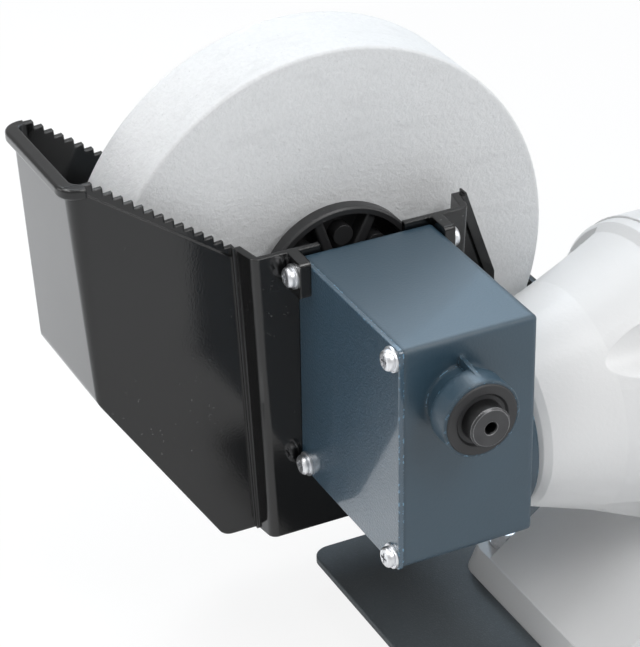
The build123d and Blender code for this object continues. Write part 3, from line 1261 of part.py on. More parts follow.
def make_shield_holder():
    barrel = rod_x(6.0, REST_X0 + 6.05, REST_X1 - 6.05, HINGE_Y, HINGE_Z)
    tongue = block(REST_X0 + 6.05, REST_X1 - 6.05, HINGE_Y, HINGE_Y + 26.0, HINGE_Z, HINGE_Z + 4.0)
    holder = barrel + tongue
    for x in (REST_MID_X - 6.0, REST_MID_X + 6.0):
        holder += rod_z(1.5, HINGE_Z + 2.0, HINGE_Z + 8.4, x, HINGE_Y + 18.0)
        holder += rod_z(3.0, HINGE_Z + 7.0, HINGE_Z + 8.4, x, HINGE_Y + 18.0)
    return holder - rod_x(2.5 + RUNNING_CLEARANCE, REST_X0, REST_X1, HINGE_Y, HINGE_Z)


def make_eye_shield():
    plate = block(SHIELD_X0, SHIELD_X1, HINGE_Y + 8.0, HINGE_Y + 88.0, HINGE_Z + 4.0, HINGE_Z + 7.0)
    plate = fillet(plate.edges().filter_by(Axis.Z), 8.0)
    for x in (REST_MID_X - 6.0, REST_MID_X + 6.0):
        plate -= rod_z(1.5, HINGE_Z, HINGE_Z + 12.0, x, HINGE_Y + 18.0)
    return plate


def make_shield_knob():
    knob = rod_x(2.5, REST_X0 - 1.0, REST_X1 + 2.0, HINGE_Y, HINGE_Z)
    head = rod_x(8.0, REST_X1, REST_X1 + 11.0, HINGE_Y, HINGE_Z)
    for index in range(5):
        angle = math.radians(index * 72.0 + 18.0)
        head -= rod_x(2.6, REST_X1 + 2.0, REST_X1 + 12.0,
                      HINGE_Y + 9.0 * math.cos(angle), HINGE_Z + 9.0 * math.sin(angle))
    return knob + head


MAKERS = {
    "base_plate": make_base_plate,
    "rubber_feet": make_rubber_feet,
    "foot_screws": make_foot_screws,
    "motor_housing": make_motor_housing,
    "pedestal_bolts": make_pedestal_bolts,
    "pedestal_washers": make_pedestal_washers,
    "pedestal_nuts": make_pedestal_nuts,
    "wet_end_bell": make_wet_end_bell,
    "dry_end_bell": make_dry_end_bell,
    "through_bolts": make_through_bolts,
    "through_nuts": make_through_nuts,
    "stator_core": make_stator_core,
    "stator_winding": make_stator_winding,
    "rotor_core": make_rotor_core,
    "rotor_cage": make_rotor_cage,
    "motor_shaft": make_motor_shaft,
    "bearing_outer_rings": make_bearing_outer_rings,
    "bearing_inner_rings": make_bearing_inner_rings,
    "bearing_balls": make_bearing_balls,
    "run_capacitor": make_run_capacitor,
    "capacitor_clip": make_capacitor_clip,
    "switch_frame": make_switch_frame,
    "switch_rocker": make_switch_rocker,
    "cable_gland": make_cable_gland,
    "gearbox_housing": make_gearbox_housing,
    "gearbox_cover": make_gearbox_cover,
    "cover_screws": make_cover_screws,
    "screw_washers": make_screw_washers,
    "gearbox_bolts": make_gearbox_bolts,
    "worm": make_worm,
    "worm_nut": make_worm_nut,
    "worm_seal": make_worm_seal,
    "worm_wheel": make_worm_wheel,
    "wheel_key": make_wheel_key,
    "stone_shaft": make_stone_shaft,
    "front_bush": make_front_bush,
    "rear_bush": make_rear_bush,
    "front_seal": make_front_seal,
    "rear_seal": make_rear_seal,
    "grinding_stone": make_grinding_stone,
    "stone_flange_inner": make_stone_flange_inner,
    "stone_flange_outer": make_stone_flange_outer,
    "stone_washer": make_stone_washer,
    "stone_nut": make_stone_nut,
    "water_trough": make_water_trough,
    "trough_screws": make_trough_screws,
    "dry_wheel": make_dry_wheel,
    "dry_flanges": make_dry_flanges,
    "dry_nut": make_dry_nut,
    "guard_body": make_guard_body,
    "guard_cover": make_guard_cover,
    "guard_screws": make_guard_screws,
    "rest_bracket": make_rest_bracket,
    "tool_rest": make_tool_rest,
    "rest_knob": make_rest_knob,
    "shield_arm": make_shield_arm,
    "shield_holder": make_shield_holder,
    "eye_shield": make_eye_shield,
    "shield_knob": make_shield_knob,
}


def main():
    os.makedirs("parts", exist_ok=True)
    shapes = {}
    for name, maker in MAKERS.items():
        shapes[name] = maker()
        print(name, len(shapes[name].solids()), round(shapes[name].volume, 1), flush=True)
    boxes = [shape.bounding_box() for shape in shapes.values()]
    low = [min(getattr(box.min, axis) for box in boxes) for axis in "XYZ"]
    high = [max(getattr(box.max, axis) for box in boxes) for axis in "XYZ"]
    shift = Pos(-(low[0] + high[0]) / 2, -(low[1] + high[1]) / 2, -low[2])
    print("bounds", [round(v, 3) for v in low], [round(v, 3) for v in high])
    print("shift", shift.position)
    for name, shape in shapes.items():
        export_step(shift * shape, os.path.join("parts", name + ".step"))


main()
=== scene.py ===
"""Wet sharpening machine: finishes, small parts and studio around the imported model."""
import json
import math

import bmesh
import bpy
from mathutils import Matrix, Vector


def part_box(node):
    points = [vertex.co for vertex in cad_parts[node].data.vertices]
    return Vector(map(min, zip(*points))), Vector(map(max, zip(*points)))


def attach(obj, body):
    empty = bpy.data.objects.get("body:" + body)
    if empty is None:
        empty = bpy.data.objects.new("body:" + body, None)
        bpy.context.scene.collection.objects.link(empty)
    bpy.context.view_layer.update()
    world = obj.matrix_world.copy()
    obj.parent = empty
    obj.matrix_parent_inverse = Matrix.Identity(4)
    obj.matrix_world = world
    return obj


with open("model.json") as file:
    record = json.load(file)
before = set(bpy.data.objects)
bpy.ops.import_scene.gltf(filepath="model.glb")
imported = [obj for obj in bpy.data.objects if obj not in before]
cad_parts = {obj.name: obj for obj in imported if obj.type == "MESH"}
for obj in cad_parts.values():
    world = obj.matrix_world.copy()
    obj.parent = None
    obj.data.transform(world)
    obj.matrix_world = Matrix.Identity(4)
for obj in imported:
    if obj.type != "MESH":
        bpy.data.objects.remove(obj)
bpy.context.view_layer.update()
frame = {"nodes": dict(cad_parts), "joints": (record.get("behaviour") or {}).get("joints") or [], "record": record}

bl_info = {
    "name": "Wet sharpening machine",
    "version": (1, 0, 0),
    "blender": (4, 5, 0),
    "location": "View3D > Sidebar > Sharpener",
    "description": "Finishes, small parts and studio for a bench wet sharpening machine",
    "category": "Object",
}

STONE_LOW, STONE_HIGH = (Vector(corner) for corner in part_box("grinding_stone"))
STONE_MIDDLE = Vector(((STONE_LOW.x + STONE_HIGH.x) / 2, STONE_LOW.y, (STONE_LOW.z + STONE_HIGH.z) / 2))
MOTOR_LOW, MOTOR_HIGH = (Vector(corner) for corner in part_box("rotor_core"))
MOTOR_MIDDLE = (MOTOR_LOW + MOTOR_HIGH) / 2
MILLIMETRE = 0.001
WHITE = (1.0, 1.0, 1.0)


# Settings


def colour(label, note, default):
    return bpy.props.FloatVectorProperty(
        name=label, description=note, subtype="COLOR", size=3, min=0.0, max=1.0, default=default)


def length(label, note, default):
    return bpy.props.FloatProperty(
        name=label, description=note, unit="LENGTH", subtype="DISTANCE", min=0.0, default=default)


def share(label, note, default):
    return bpy.props.FloatProperty(
        name=label, description=note, subtype="FACTOR", min=0.0, max=1.0, default=default)


class SharpenerFinishes(bpy.types.PropertyGroup):
    """Colours and surface sizes of the machine."""
    casting: colour("Castings", "Light grey paint of the motor castings", (0.785, 0.786, 0.787))
    slate: colour("Gearbox", "Slate blue enamel of the gearbox", (0.029, 0.06, 0.087))
    # The cover wears the gearbox's own enamel; its lighter, bluer colour is painted light for that side
    lit_cover_slate: colour("Gearbox cover", "Slate blue enamel of the cover, made lighter and bluer as painted light on that side", (0.034, 0.075, 0.113))
    plate: colour("Base plate", "Anthracite powder coat of the base plate", (0.07, 0.081, 0.089))
    trough: colour("Trough", "Black plastic of the water trough", (0.0028, 0.0028, 0.003))
    wet_stone: colour("Wet stone", "White bonded grit of the slow stone", (0.8, 0.81, 0.818))
    dry_stone: colour("Dry wheel", "Grey bonded grit of the fast wheel", (0.3, 0.3, 0.31))
    flange: colour("Flanges", "Worn black plastic of the stone's flanges", (0.022, 0.022, 0.023))
    rubber: colour("Rubber", "Seals and feet", (0.018, 0.018, 0.019))
    oxide: colour("Dark oxide", "Blackened steel of the slow shaft", (0.075, 0.075, 0.077))
    zinc: colour("Zinc", "Plated screws, nuts and washers", (0.8, 0.81, 0.83))
    steel: colour("Machined steel", "Gears, motor shaft and bearings", (0.56, 0.565, 0.57))
    bronze: colour("Bronze", "Bushes and worm wheel", (0.6, 0.4, 0.18))
    copper: colour("Copper", "Motor winding", (0.62, 0.27, 0.11))
    aluminium: colour("Aluminium", "Rotor cage and capacitor can", (0.74, 0.75, 0.76))
    laminations: colour("Laminations", "Stacked sheet of the motor", (0.3, 0.31, 0.33))
    black_plastic: colour("Black plastic", "Switch frame, gland and knobs", (0.02, 0.02, 0.022))
    red_plastic: colour("Red plastic", "Switch rocker", (0.52, 0.025, 0.02))
    marks: colour("Switch marks", "Pale marks on the switch rocker", (0.78, 0.77, 0.74))
    clear: colour("Eye shield", "Clear sheet of the eye shield", (0.82, 0.885, 0.9))
    peel_size: length("Orange peel", "Width of a ripple in the enamel", 0.0011)
    cast_size: length("Cast skin", "Width of a pit in the castings", 0.0016)
    grit_size: length("Stone grit", "Width of a grain in the slow stone", 0.0007)
    edge_radius: length("Edge rounding", "Radius that softens machined edges", 0.0005)
    bend_radius: length("Bend rounding", "Radius that softens the trough's bends", 0.0011)
    corner_radius: length("Corner rounding", "Radius that softens the gearbox's cast corners", 0.0028)


class SharpenerDetails(bpy.types.PropertyGroup):
    """Sizes of the small modelled pieces."""
    mark_height: length("Mark height", "Height of the marks on the switch rocker", 0.0042)
    mark_width: length("Mark width", "Line width of the marks on the switch rocker", 0.0007)
    thread_pitch: length("Thread pitch", "Rise of the stone shaft's thread in one turn", 0.001)
    thread_depth: length("Thread depth", "Height of the stone shaft's thread", 0.0004)


class SharpenerStudio(bpy.types.PropertyGroup):
    """Camera, fill light and floor."""
    camera_place: bpy.props.FloatVectorProperty(
        name="Camera", description="Place of the camera", unit="LENGTH", subtype="TRANSLATION",
        default=(-0.52892, -0.82588, 0.70706))
    camera_turn: bpy.props.FloatProperty(
        name="Turn", description="Turn of the camera about the upright", subtype="ANGLE",
        default=math.radians(-26.09))
    camera_height: bpy.props.FloatProperty(
        name="Height", description="Angle of the camera above the horizon", subtype="ANGLE",
        default=math.radians(30.25))
    camera_roll: bpy.props.FloatProperty(
        name="Roll", description="Roll of the camera", subtype="ANGLE", default=math.radians(-0.91))
    lens: bpy.props.FloatProperty(
        name="Lens", description="Focal length in millimetres", min=1.0, default=150.13)
    sky: share("Fill", "Strength of the even fill light", 0.2)
    floor: colour("Floor", "Pale floor", (0.88, 0.885, 0.89))
    floor_white: share("White floor", "How far the floor shows as plain white", 0.87)
    floor_gleam: share("White in reflections", "How far reflections show the floor as plain white", 0.34)
    sky_gleam: share("Sky in reflections", "How far reflections show the backdrop as plain white", 0.45)


# Shader helpers


def feed(tree, socket, value):
    """Links a socket or sets its plain value."""
    if isinstance(value, bpy.types.NodeSocket):
        tree.links.new(value, socket)
    elif hasattr(socket.default_value, "__len__") and len(socket.default_value) == 4 and len(value) == 3:
        socket.default_value = (*value, 1.0)
    else:
        socket.default_value = value


def put(tree, kind, inputs=None, **settings):
    """Adds a shader node with its settings and inputs."""
    made = tree.nodes.new(kind)
    for name, value in settings.items():
        setattr(made, name, value)
    for name, value in (inputs or {}).items():
        feed(tree, made.inputs[name], value)
    return made


def maths(tree, operation, first, second=None):
    """Result of one sum."""
    made = put(tree, "ShaderNodeMath", {0: first}, operation=operation)
    if second is not None:
        feed(tree, made.inputs[1], second)
    return made.outputs[0]


def times(tree, value, amount):
    """Value made weaker or stronger by an amount."""
    return maths(tree, "MULTIPLY", value, amount)


def remap(tree, value, low=0.0, high=1.0, to_low=0.0, to_high=1.0):
    """Value carried from one range to another."""
    made = put(tree, "ShaderNodeMapRange", {
        "Value": value, "From Min": low, "From Max": high, "To Min": to_low, "To Max": to_high})
    return made.outputs["Result"]


def ridges(tree, angle):
    """Even ridges from nought to one."""
    return remap(tree, maths(tree, "SINE", angle), low=-1.0, high=1.0)


# Sockets of the mix node when it mixes colours
FACTOR, FIRST_COLOUR, SECOND_COLOUR, MIXED_COLOUR = 0, 6, 7, 2


def mix_colours(tree, factor, first, second):
    """Colour that runs from the first to the second as the factor grows."""
    made = put(tree, "ShaderNodeMix", {
        FACTOR: factor, FIRST_COLOUR: first, SECOND_COLOUR: second}, data_type="RGBA")
    return made.outputs[MIXED_COLOUR]


def lighter(tint, amount):
    """Tint made lighter, or darker where the amount is below one."""
    return tuple(min(1.0, value * amount) for value in tint)


def shades(tree, mask, tint, low, high):
    """Tint that runs between two shades as a mask grows."""
    return mix_colours(tree, mask, lighter(tint, low), lighter(tint, high))


def mark(tree, base, mask, amount, tint):
    """Colour with a share of another laid over it where a mask says so."""
    return mix_colours(tree, times(tree, mask, amount), base, tint)


def noise(tree, vector, scale, detail, rough):
    """Height of a noise texture."""
    made = put(tree, "ShaderNodeTexNoise", {
        "Vector": vector, "Scale": scale, "Detail": detail, "Roughness": rough})
    return made.outputs["Fac"]


def about_axis(tree, place, middle, axis):
    """Distances along and away from an axis through a point."""
    shift = tuple(-value for value in middle)
    centred = put(tree, "ShaderNodeMapping", {"Vector": place, "Location": shift})
    apart = put(tree, "ShaderNodeSeparateXYZ", {0: centred.outputs[0]})
    first, second = (letter for letter in "XYZ" if letter != axis)
    flat = put(tree, "ShaderNodeCombineXYZ", {"X": apart.outputs[first], "Y": apart.outputs[second]})
    radius = put(tree, "ShaderNodeVectorMath", {0: flat.outputs[0]}, operation="LENGTH")
    return apart.outputs[axis], radius.outputs["Value"]


FLOAT = "NodeSocketFloat"
VECTOR = "NodeSocketVector"


def new_group(name, takes, gives):
    """Empty shader group; gives the group, what comes in and what goes out."""
    group = bpy.data.node_groups.new(name, "ShaderNodeTree")
    for socket_name, kind, default in takes:
        socket = group.interface.new_socket(name=socket_name, in_out="INPUT", socket_type=kind)
        if default is not None:
            socket.default_value = default
    for socket_name, kind in gives:
        group.interface.new_socket(name=socket_name, in_out="OUTPUT", socket_type=kind)
    return group, group.nodes.new("NodeGroupInput").outputs, group.nodes.new("NodeGroupOutput").inputs


def scale_of(tree, size):
    """Texture scale for a feature of that width in metres."""
    return maths(tree, "DIVIDE", 1.0, size)


def ripple_group():
    """Soft ripples of sprayed paint or a cast skin."""
    group, takes, gives = new_group(
        "Ripples", [("Vector", VECTOR, None), ("Size", FLOAT, 0.001), ("Roughness", FLOAT, 0.5)],
        [("Height", FLOAT)])
    scale = scale_of(group, takes["Size"])
    height = noise(group, takes["Vector"], scale, detail=2.0, rough=takes["Roughness"])
    feed(group, gives["Height"], height)
    return group


def mottle_group():
    """Broad uneven patches for colour and gloss."""
    group, takes, gives = new_group(
        "Mottle", [("Vector", VECTOR, None), ("Size", FLOAT, 0.03), ("Contrast", FLOAT, 0.5)],
        [("Value", FLOAT)])
    broad = noise(group, takes["Vector"], scale_of(group, takes["Size"]), detail=4.0, rough=0.55)
    swing = times(group, takes["Contrast"], 0.5)
    darkest = maths(group, "SUBTRACT", 0.5, swing)
    lightest = maths(group, "ADD", 0.5, swing)
    feed(group, gives["Value"], remap(group, broad, low=0.3, high=0.7, to_low=darkest, to_high=lightest))
    return group


def grit_group():
    """Bonded grains with soft lumps and a few dark specks."""
    group, takes, gives = new_group(
        "Grit", [("Vector", VECTOR, None), ("Size", FLOAT, 0.0007)],
        [("Grain", FLOAT), ("Specks", FLOAT), ("Height", FLOAT)])
    scale = scale_of(group, takes["Size"])
    turned = put(group, "ShaderNodeMapping", {"Vector": takes["Vector"], "Rotation": (0.43, 0.71, 0.29)})
    fine = noise(group, turned.outputs[0], scale, detail=5.0, rough=0.75)
    lumps = noise(group, turned.outputs[0], times(group, scale, 0.37), detail=4.0, rough=0.6)
    grain = maths(group, "ADD", times(group, fine, 0.4), times(group, lumps, 0.6))
    feed(group, gives["Grain"], remap(group, grain, low=0.38, high=0.62))
    feed(group, gives["Height"], grain)
    sparse = noise(group, turned.outputs[0], times(group, scale, 0.31), detail=2.0, rough=0.5)
    feed(group, gives["Specks"], remap(group, sparse, low=0.71, high=0.77))
    return group


def hairline_group():
    """Sparse fine scratches that run one way."""
    group, takes, gives = new_group(
        "Hairlines", [("Vector", VECTOR, None), ("Amount", FLOAT, 0.5)], [("Mask", FLOAT)])
    turned = put(group, "ShaderNodeMapping", {
        "Vector": takes["Vector"], "Rotation": (0.5, 0.35, 0.9), "Scale": (28.0, 2600.0, 2600.0)})
    lines = noise(group, turned.outputs[0], scale=1.0, detail=1.0, rough=0.4)
    where = noise(group, takes["Vector"], scale=38.0, detail=2.0, rough=0.5)
    faintest = remap(group, takes["Amount"], to_low=0.84, to_high=0.66)
    clearest = maths(group, "ADD", faintest, 0.05)
    thin = remap(group, lines, low=faintest, high=clearest)
    feed(group, gives["Mask"], times(group, thin, remap(group, where, low=0.45, high=0.6)))
    return group


def edge_group():
    """Rounded normal near edges and a mask of where the edges are."""
    group, takes, gives = new_group(
        "Soft edges", [("Radius", FLOAT, 0.0005)], [("Normal", VECTOR), ("Mask", FLOAT)])
    rounded = put(group, "ShaderNodeBevel", {"Radius": takes["Radius"]}, samples=4).outputs["Normal"]
    plain = put(group, "ShaderNodeNewGeometry").outputs["Normal"]
    likeness = put(group, "ShaderNodeVectorMath", {0: rounded, 1: plain}, operation="DOT_PRODUCT")
    feed(group, gives["Normal"], rounded)
    feed(group, gives["Mask"], remap(group, likeness.outputs["Value"], low=0.995, high=0.9))
    return group


def turned_group():
    """Fine tool marks left by turning, along the axis and across the end faces."""
    group, takes, gives = new_group(
        "Turned lines", [("Along", FLOAT, 0.0), ("Radius", FLOAT, 0.0), ("Pitch", FLOAT, 0.0003)],
        [("Height", FLOAT)])
    scale = scale_of(group, takes["Pitch"])
    along, across = (
        put(group, "ShaderNodeTexNoise", {"W": takes[way], "Scale": scale, "Detail": 2.0},
            noise_dimensions="1D").outputs["Fac"]
        for way in ("Along", "Radius"))
    feed(group, gives["Height"], times(group, maths(group, "ADD", along, across), 0.5))
    return group


GROUP_MAKERS = {
    "ripples": ripple_group, "mottle": mottle_group, "grit": grit_group,
    "hairlines": hairline_group, "edges": edge_group, "turned": turned_group,
}
GROUPS = {}


def effect(tree, name, inputs):
    """Places a shared shader group, made the first time it is asked for."""
    if name not in GROUPS:
        GROUPS[name] = GROUP_MAKERS[name]()
    return put(tree, "ShaderNodeGroup", inputs, node_tree=GROUPS[name]).outputs


def new_material(name):
    """Material with a plain Principled shader; gives it, its tree, the shader and Object coordinates."""
    material = bpy.data.materials.new(name)
    material.use_nodes = True
    tree = material.node_tree
    shader = tree.nodes["Principled BSDF"]
    place = tree.nodes.new("ShaderNodeTexCoord").outputs["Object"]
    return material, tree, shader, place


def set_plain(shader, **values):
    """Sets constants on the shader's own sockets; words are joined with underscores."""
    for name, value in values.items():
        shader.inputs[name.replace("_", " ")].default_value = value


def set_surface(tree, shader, base, roughness):
    """Gives the shader a colour and a roughness that vary over the surface."""
    feed(tree, shader.inputs["Base Color"], base)
    feed(tree, shader.inputs["Roughness"], roughness)


def relief(tree, shader, height, depth, normal=None):
    """Presses a pattern of that depth into the surface, over a softened normal if there is one."""
    bump = put(tree, "ShaderNodeBump", {"Strength": 1.0, "Distance": depth, "Height": height})
    if normal is not None:
        feed(tree, bump.inputs["Normal"], normal)
    feed(tree, shader.inputs["Normal"], bump.outputs["Normal"])


# Finishes


# Colours of settled dust and of steel where a finish has worn off, and how far the painted highlight along edges
# shows
DUST = (0.42, 0.42, 0.41)
BARE_STEEL = (0.6, 0.6, 0.61)
EDGE_HIGHLIGHT = 0.3

# How much rounder an edge is under paint or enamel than bare
PAINT_BUILD = 1.6
ENAMEL_BUILD = 1.4

# Ridges of the motor's wire and sheets, in radians for each metre
WIRE_RATE = 5200.0
SHEET_RATE = 12500.0


def painted_casting(name, tint, pit, edge_radius):
    """Satin paint over a cast skin."""
    material, tree, shader, place = new_material(name)
    edges = effect(tree, "edges", {"Radius": edge_radius * PAINT_BUILD})
    skin = effect(tree, "ripples", {"Vector": place, "Size": pit, "Roughness": 0.6})
    patches = effect(tree, "mottle", {"Vector": place, "Size": 0.035, "Contrast": 0.6})
    base = shades(tree, patches["Value"], tint, low=0.965, high=1.02)
    set_surface(tree, shader, base, remap(tree, patches["Value"], to_low=0.26, to_high=0.36))
    relief(tree, shader, skin["Height"], depth=0.00005, normal=edges["Normal"])
    return material


def slate_enamel(name, tint, edge_radius, corner_radius, peel, peel_depth, rough, coat, shine):
    """Glossy slate enamel with orange peel and small chips along its edges."""
    material, tree, shader, place = new_material(name)
    edges = effect(tree, "edges", {"Radius": edge_radius})
    corners = effect(tree, "edges", {"Radius": corner_radius})
    skin = effect(tree, "ripples", {"Vector": place, "Size": peel, "Roughness": 0.45})
    patches = effect(tree, "mottle", {"Vector": place, "Size": 0.02, "Contrast": 0.5})
    knocks = effect(tree, "mottle", {"Vector": place, "Size": 0.0022, "Contrast": 1.0})
    base = shades(tree, patches["Value"], tint, low=0.93, high=1.07)
    # Lighter band along every edge: a painted highlight on the rounded edges
    base = mark(tree, base, edges["Mask"], EDGE_HIGHLIGHT, lighter(tint, 2.0))
    chips = remap(tree, knocks["Value"], low=0.7, high=0.8)
    base = mark(tree, base, edges["Mask"], chips, lighter(tint, 7.0))
    set_surface(tree, shader, base, remap(tree, patches["Value"], to_low=rough - 0.03, to_high=rough + 0.04))
    set_plain(shader, Specular_IOR_Level=shine, Coat_Weight=coat, Coat_Roughness=0.07)
    relief(tree, shader, skin["Height"], depth=peel_depth, normal=corners["Normal"])
    return material


def powder_coat(name, tint, edge_radius):
    """Fine textured powder coat."""
    material, tree, shader, place = new_material(name)
    edges = effect(tree, "edges", {"Radius": edge_radius})
    skin = effect(tree, "ripples", {"Vector": place, "Size": 0.0007, "Roughness": 0.7})
    patches = effect(tree, "mottle", {"Vector": place, "Size": 0.03, "Contrast": 0.4})
    speckle = remap(tree, skin["Height"], low=0.55, high=0.72)
    base = shades(tree, patches["Value"], tint, low=0.9, high=1.1)
    base = mark(tree, base, speckle, 0.3, lighter(tint, 1.9))
    set_surface(tree, shader, base, remap(tree, skin["Height"], low=0.3, high=0.7, to_low=0.46, to_high=0.3))
    set_plain(shader, Specular_IOR_Level=0.25)
    relief(tree, shader, skin["Height"], depth=0.00009, normal=edges["Normal"])
    return material


def moulded_plastic(name, tint, edge_radius, rough, scratches, shine=0.5):
    """Moulded plastic with a faint mould skin, dust in patches and hairlines."""
    material, tree, shader, place = new_material(name)
    edges = effect(tree, "edges", {"Radius": edge_radius})
    skin = effect(tree, "ripples", {"Vector": place, "Size": 0.0009, "Roughness": 0.5})
    patches = effect(tree, "mottle", {"Vector": place, "Size": 0.045, "Contrast": 0.8})
    lines = effect(tree, "hairlines", {"Vector": place, "Amount": scratches})
    grains = effect(tree, "mottle", {"Vector": place, "Size": 0.0019, "Contrast": 1.0})
    dusty = times(tree, remap(tree, patches["Value"], low=0.55, high=0.8), scratches)
    dust = times(tree, remap(tree, grains["Value"], low=0.97, high=1.0), dusty)
    # Lighter band along every edge: a painted highlight on the rounded edges
    base = mark(tree, tint, edges["Mask"], EDGE_HIGHLIGHT, lighter(tint, 2.0))
    base = mark(tree, base, lines["Mask"], 0.1, DUST)
    base = mark(tree, base, dust, 0.6, DUST)
    roughness = remap(tree, patches["Value"], to_low=rough - 0.04, to_high=rough + 0.06)
    roughness = maths(tree, "ADD", roughness, times(tree, lines["Mask"], 0.2))
    set_surface(tree, shader, base, roughness)
    set_plain(shader, Specular_IOR_Level=shine)
    relief(tree, shader, skin["Height"], depth=0.00002, normal=edges["Normal"])
    return material


def soft_rubber(name, tint):
    """Matte moulded rubber."""
    material, tree, shader, place = new_material(name)
    edges = effect(tree, "edges", {"Radius": 0.0004})
    skin = effect(tree, "ripples", {"Vector": place, "Size": 0.0006, "Roughness": 0.7})
    patches = effect(tree, "mottle", {"Vector": place, "Size": 0.012, "Contrast": 0.7})
    base = shades(tree, patches["Value"], tint, low=1.0, high=1.7)
    set_surface(tree, shader, base, remap(tree, patches["Value"], to_low=0.46, to_high=0.62))
    relief(tree, shader, skin["Height"], depth=0.00003, normal=edges["Normal"])
    return material


def bonded_stone(name, tint, grit, smearing):
    """Bonded abrasive with grains, specks and faint smears."""
    material, tree, shader, place = new_material(name)
    edges = effect(tree, "edges", {"Radius": 0.0014})
    grains = effect(tree, "grit", {"Vector": place, "Size": grit})
    patches = effect(tree, "mottle", {"Vector": place, "Size": 0.03, "Contrast": 0.7})
    drawn = put(tree, "ShaderNodeMapping", {"Vector": place, "Scale": (0.25, 1.0, 1.0)})
    smears = effect(tree, "mottle", {"Vector": drawn.outputs[0], "Size": 0.006, "Contrast": 1.0})
    base = shades(tree, grains["Grain"], tint, low=0.95, high=1.03)
    base = mark(tree, base, patches["Value"], 0.5, lighter(tint, 0.96))
    base = mark(tree, base, remap(tree, smears["Value"], low=0.6, high=0.95), smearing, lighter(tint, 0.82))
    base = mark(tree, base, grains["Specks"], 0.35, lighter(tint, 0.55))
    set_surface(tree, shader, base, remap(tree, grains["Grain"], to_low=0.78, to_high=0.95))
    relief(tree, shader, grains["Height"], depth=0.0006, normal=edges["Normal"])
    return material


def plated_steel(name, tint, rough):
    """Bright plated steel with rolling marks."""
    material, tree, shader, place = new_material(name)
    edges = effect(tree, "edges", {"Radius": 0.0003})
    skin = effect(tree, "ripples", {"Vector": place, "Size": 0.0005, "Roughness": 0.6})
    patches = effect(tree, "mottle", {"Vector": place, "Size": 0.004, "Contrast": 0.9})
    lines = effect(tree, "hairlines", {"Vector": place, "Amount": 0.7})
    base = shades(tree, patches["Value"], tint, low=0.86, high=1.08)
    roughness = remap(tree, patches["Value"], to_low=rough - 0.06, to_high=rough + 0.08)
    roughness = maths(tree, "ADD", roughness, times(tree, lines["Mask"], 0.12))
    set_surface(tree, shader, base, roughness)
    set_plain(shader, Metallic=1.0)
    relief(tree, shader, skin["Height"], depth=0.000012, normal=edges["Normal"])
    return material


def turned_steel(name, tint, middle, axis, rough, pitch=0.0003, bright_edges=0.0):
    """Metal turned about an axis through a point."""
    material, tree, shader, place = new_material(name)
    edges = effect(tree, "edges", {"Radius": 0.0004})
    along, radius = about_axis(tree, place, middle, axis)
    lines = effect(tree, "turned", {"Along": along, "Radius": radius, "Pitch": pitch})
    patches = effect(tree, "mottle", {"Vector": place, "Size": 0.008, "Contrast": 0.7})
    base = shades(tree, patches["Value"], tint, low=0.85, high=1.12)
    if bright_edges:
        base = mark(tree, base, edges["Mask"], bright_edges, BARE_STEEL)
    roughness = remap(
        tree, lines["Height"], low=0.3, high=0.7, to_low=rough - 0.08, to_high=rough + 0.08)
    set_surface(tree, shader, base, roughness)
    set_plain(shader, Metallic=1.0)
    relief(tree, shader, lines["Height"], depth=0.00002, normal=edges["Normal"])
    return material


def wound_wire(name, tint):
    """Enamelled wire laid side by side round the motor."""
    material, tree, shader, place = new_material(name)
    along, radius = about_axis(tree, place, MOTOR_MIDDLE, "X")
    turns = maths(tree, "ADD", times(tree, radius, WIRE_RATE), times(tree, along, WIRE_RATE))
    strands = ridges(tree, turns)
    patches = effect(tree, "mottle", {"Vector": place, "Size": 0.01, "Contrast": 0.8})
    base = shades(tree, patches["Value"], tint, low=0.75, high=1.15)
    # Darker between the turns: painted shade in the grooves between the round wires
    base = mix_colours(tree, strands, lighter(tint, 0.3), base)
    set_surface(tree, shader, base, remap(tree, patches["Value"], to_low=0.3, to_high=0.45))
    set_plain(shader, Metallic=0.7)
    relief(tree, shader, strands, depth=0.0003)
    return material


def stacked_sheet(name, tint):
    """Edges of stacked motor sheets."""
    material, tree, shader, place = new_material(name)
    apart = put(tree, "ShaderNodeSeparateXYZ", {0: place})
    sheets = ridges(tree, times(tree, apart.outputs["X"], SHEET_RATE))
    patches = effect(tree, "mottle", {"Vector": place, "Size": 0.012, "Contrast": 0.8})
    base = shades(tree, sheets, tint, low=0.6, high=1.1)
    base = mark(tree, base, patches["Value"], 0.5, lighter(tint, 0.7))
    set_surface(tree, shader, base, remap(tree, patches["Value"], to_low=0.35, to_high=0.55))
    set_plain(shader, Metallic=0.9)
    relief(tree, shader, sheets, depth=0.00008)
    return material


def clear_sheet(name, tint):
    """Clear sheet with faint wiping marks."""
    material, tree, shader, place = new_material(name)
    patches = effect(tree, "mottle", {"Vector": place, "Size": 0.02, "Contrast": 0.9})
    lines = effect(tree, "hairlines", {"Vector": place, "Amount": 0.35})
    base = shades(tree, lines["Mask"], tint, low=1.0, high=0.85)
    roughness = remap(tree, patches["Value"], to_low=0.02, to_high=0.07)
    roughness = maths(tree, "ADD", roughness, times(tree, lines["Mask"], 0.2))
    set_surface(tree, shader, base, roughness)
    set_plain(shader, IOR=1.5, Transmission_Weight=1.0)
    return material


def dress_piece(material, node):
    """Gives a finish to one CAD node."""
    shape = frame["nodes"][node].data
    shape.materials.clear()
    shape.materials.append(material)


def dress(material, slot):
    """Gives a finish to every CAD node with that record slot."""
    nodes = [part["node"] for part in frame["record"]["subparts"] if part["material_slot"] == slot]
    if not nodes:
        raise RuntimeError(f"no piece has the finish {slot}")
    for node in nodes:
        dress_piece(material, node)


# Operators


class FinishOperator:
    """Shared parts of the operators that dress the machine."""
    bl_options = {"REGISTER", "UNDO"}

    def finishes(self, context):
        return context.scene.sharpener_finishes


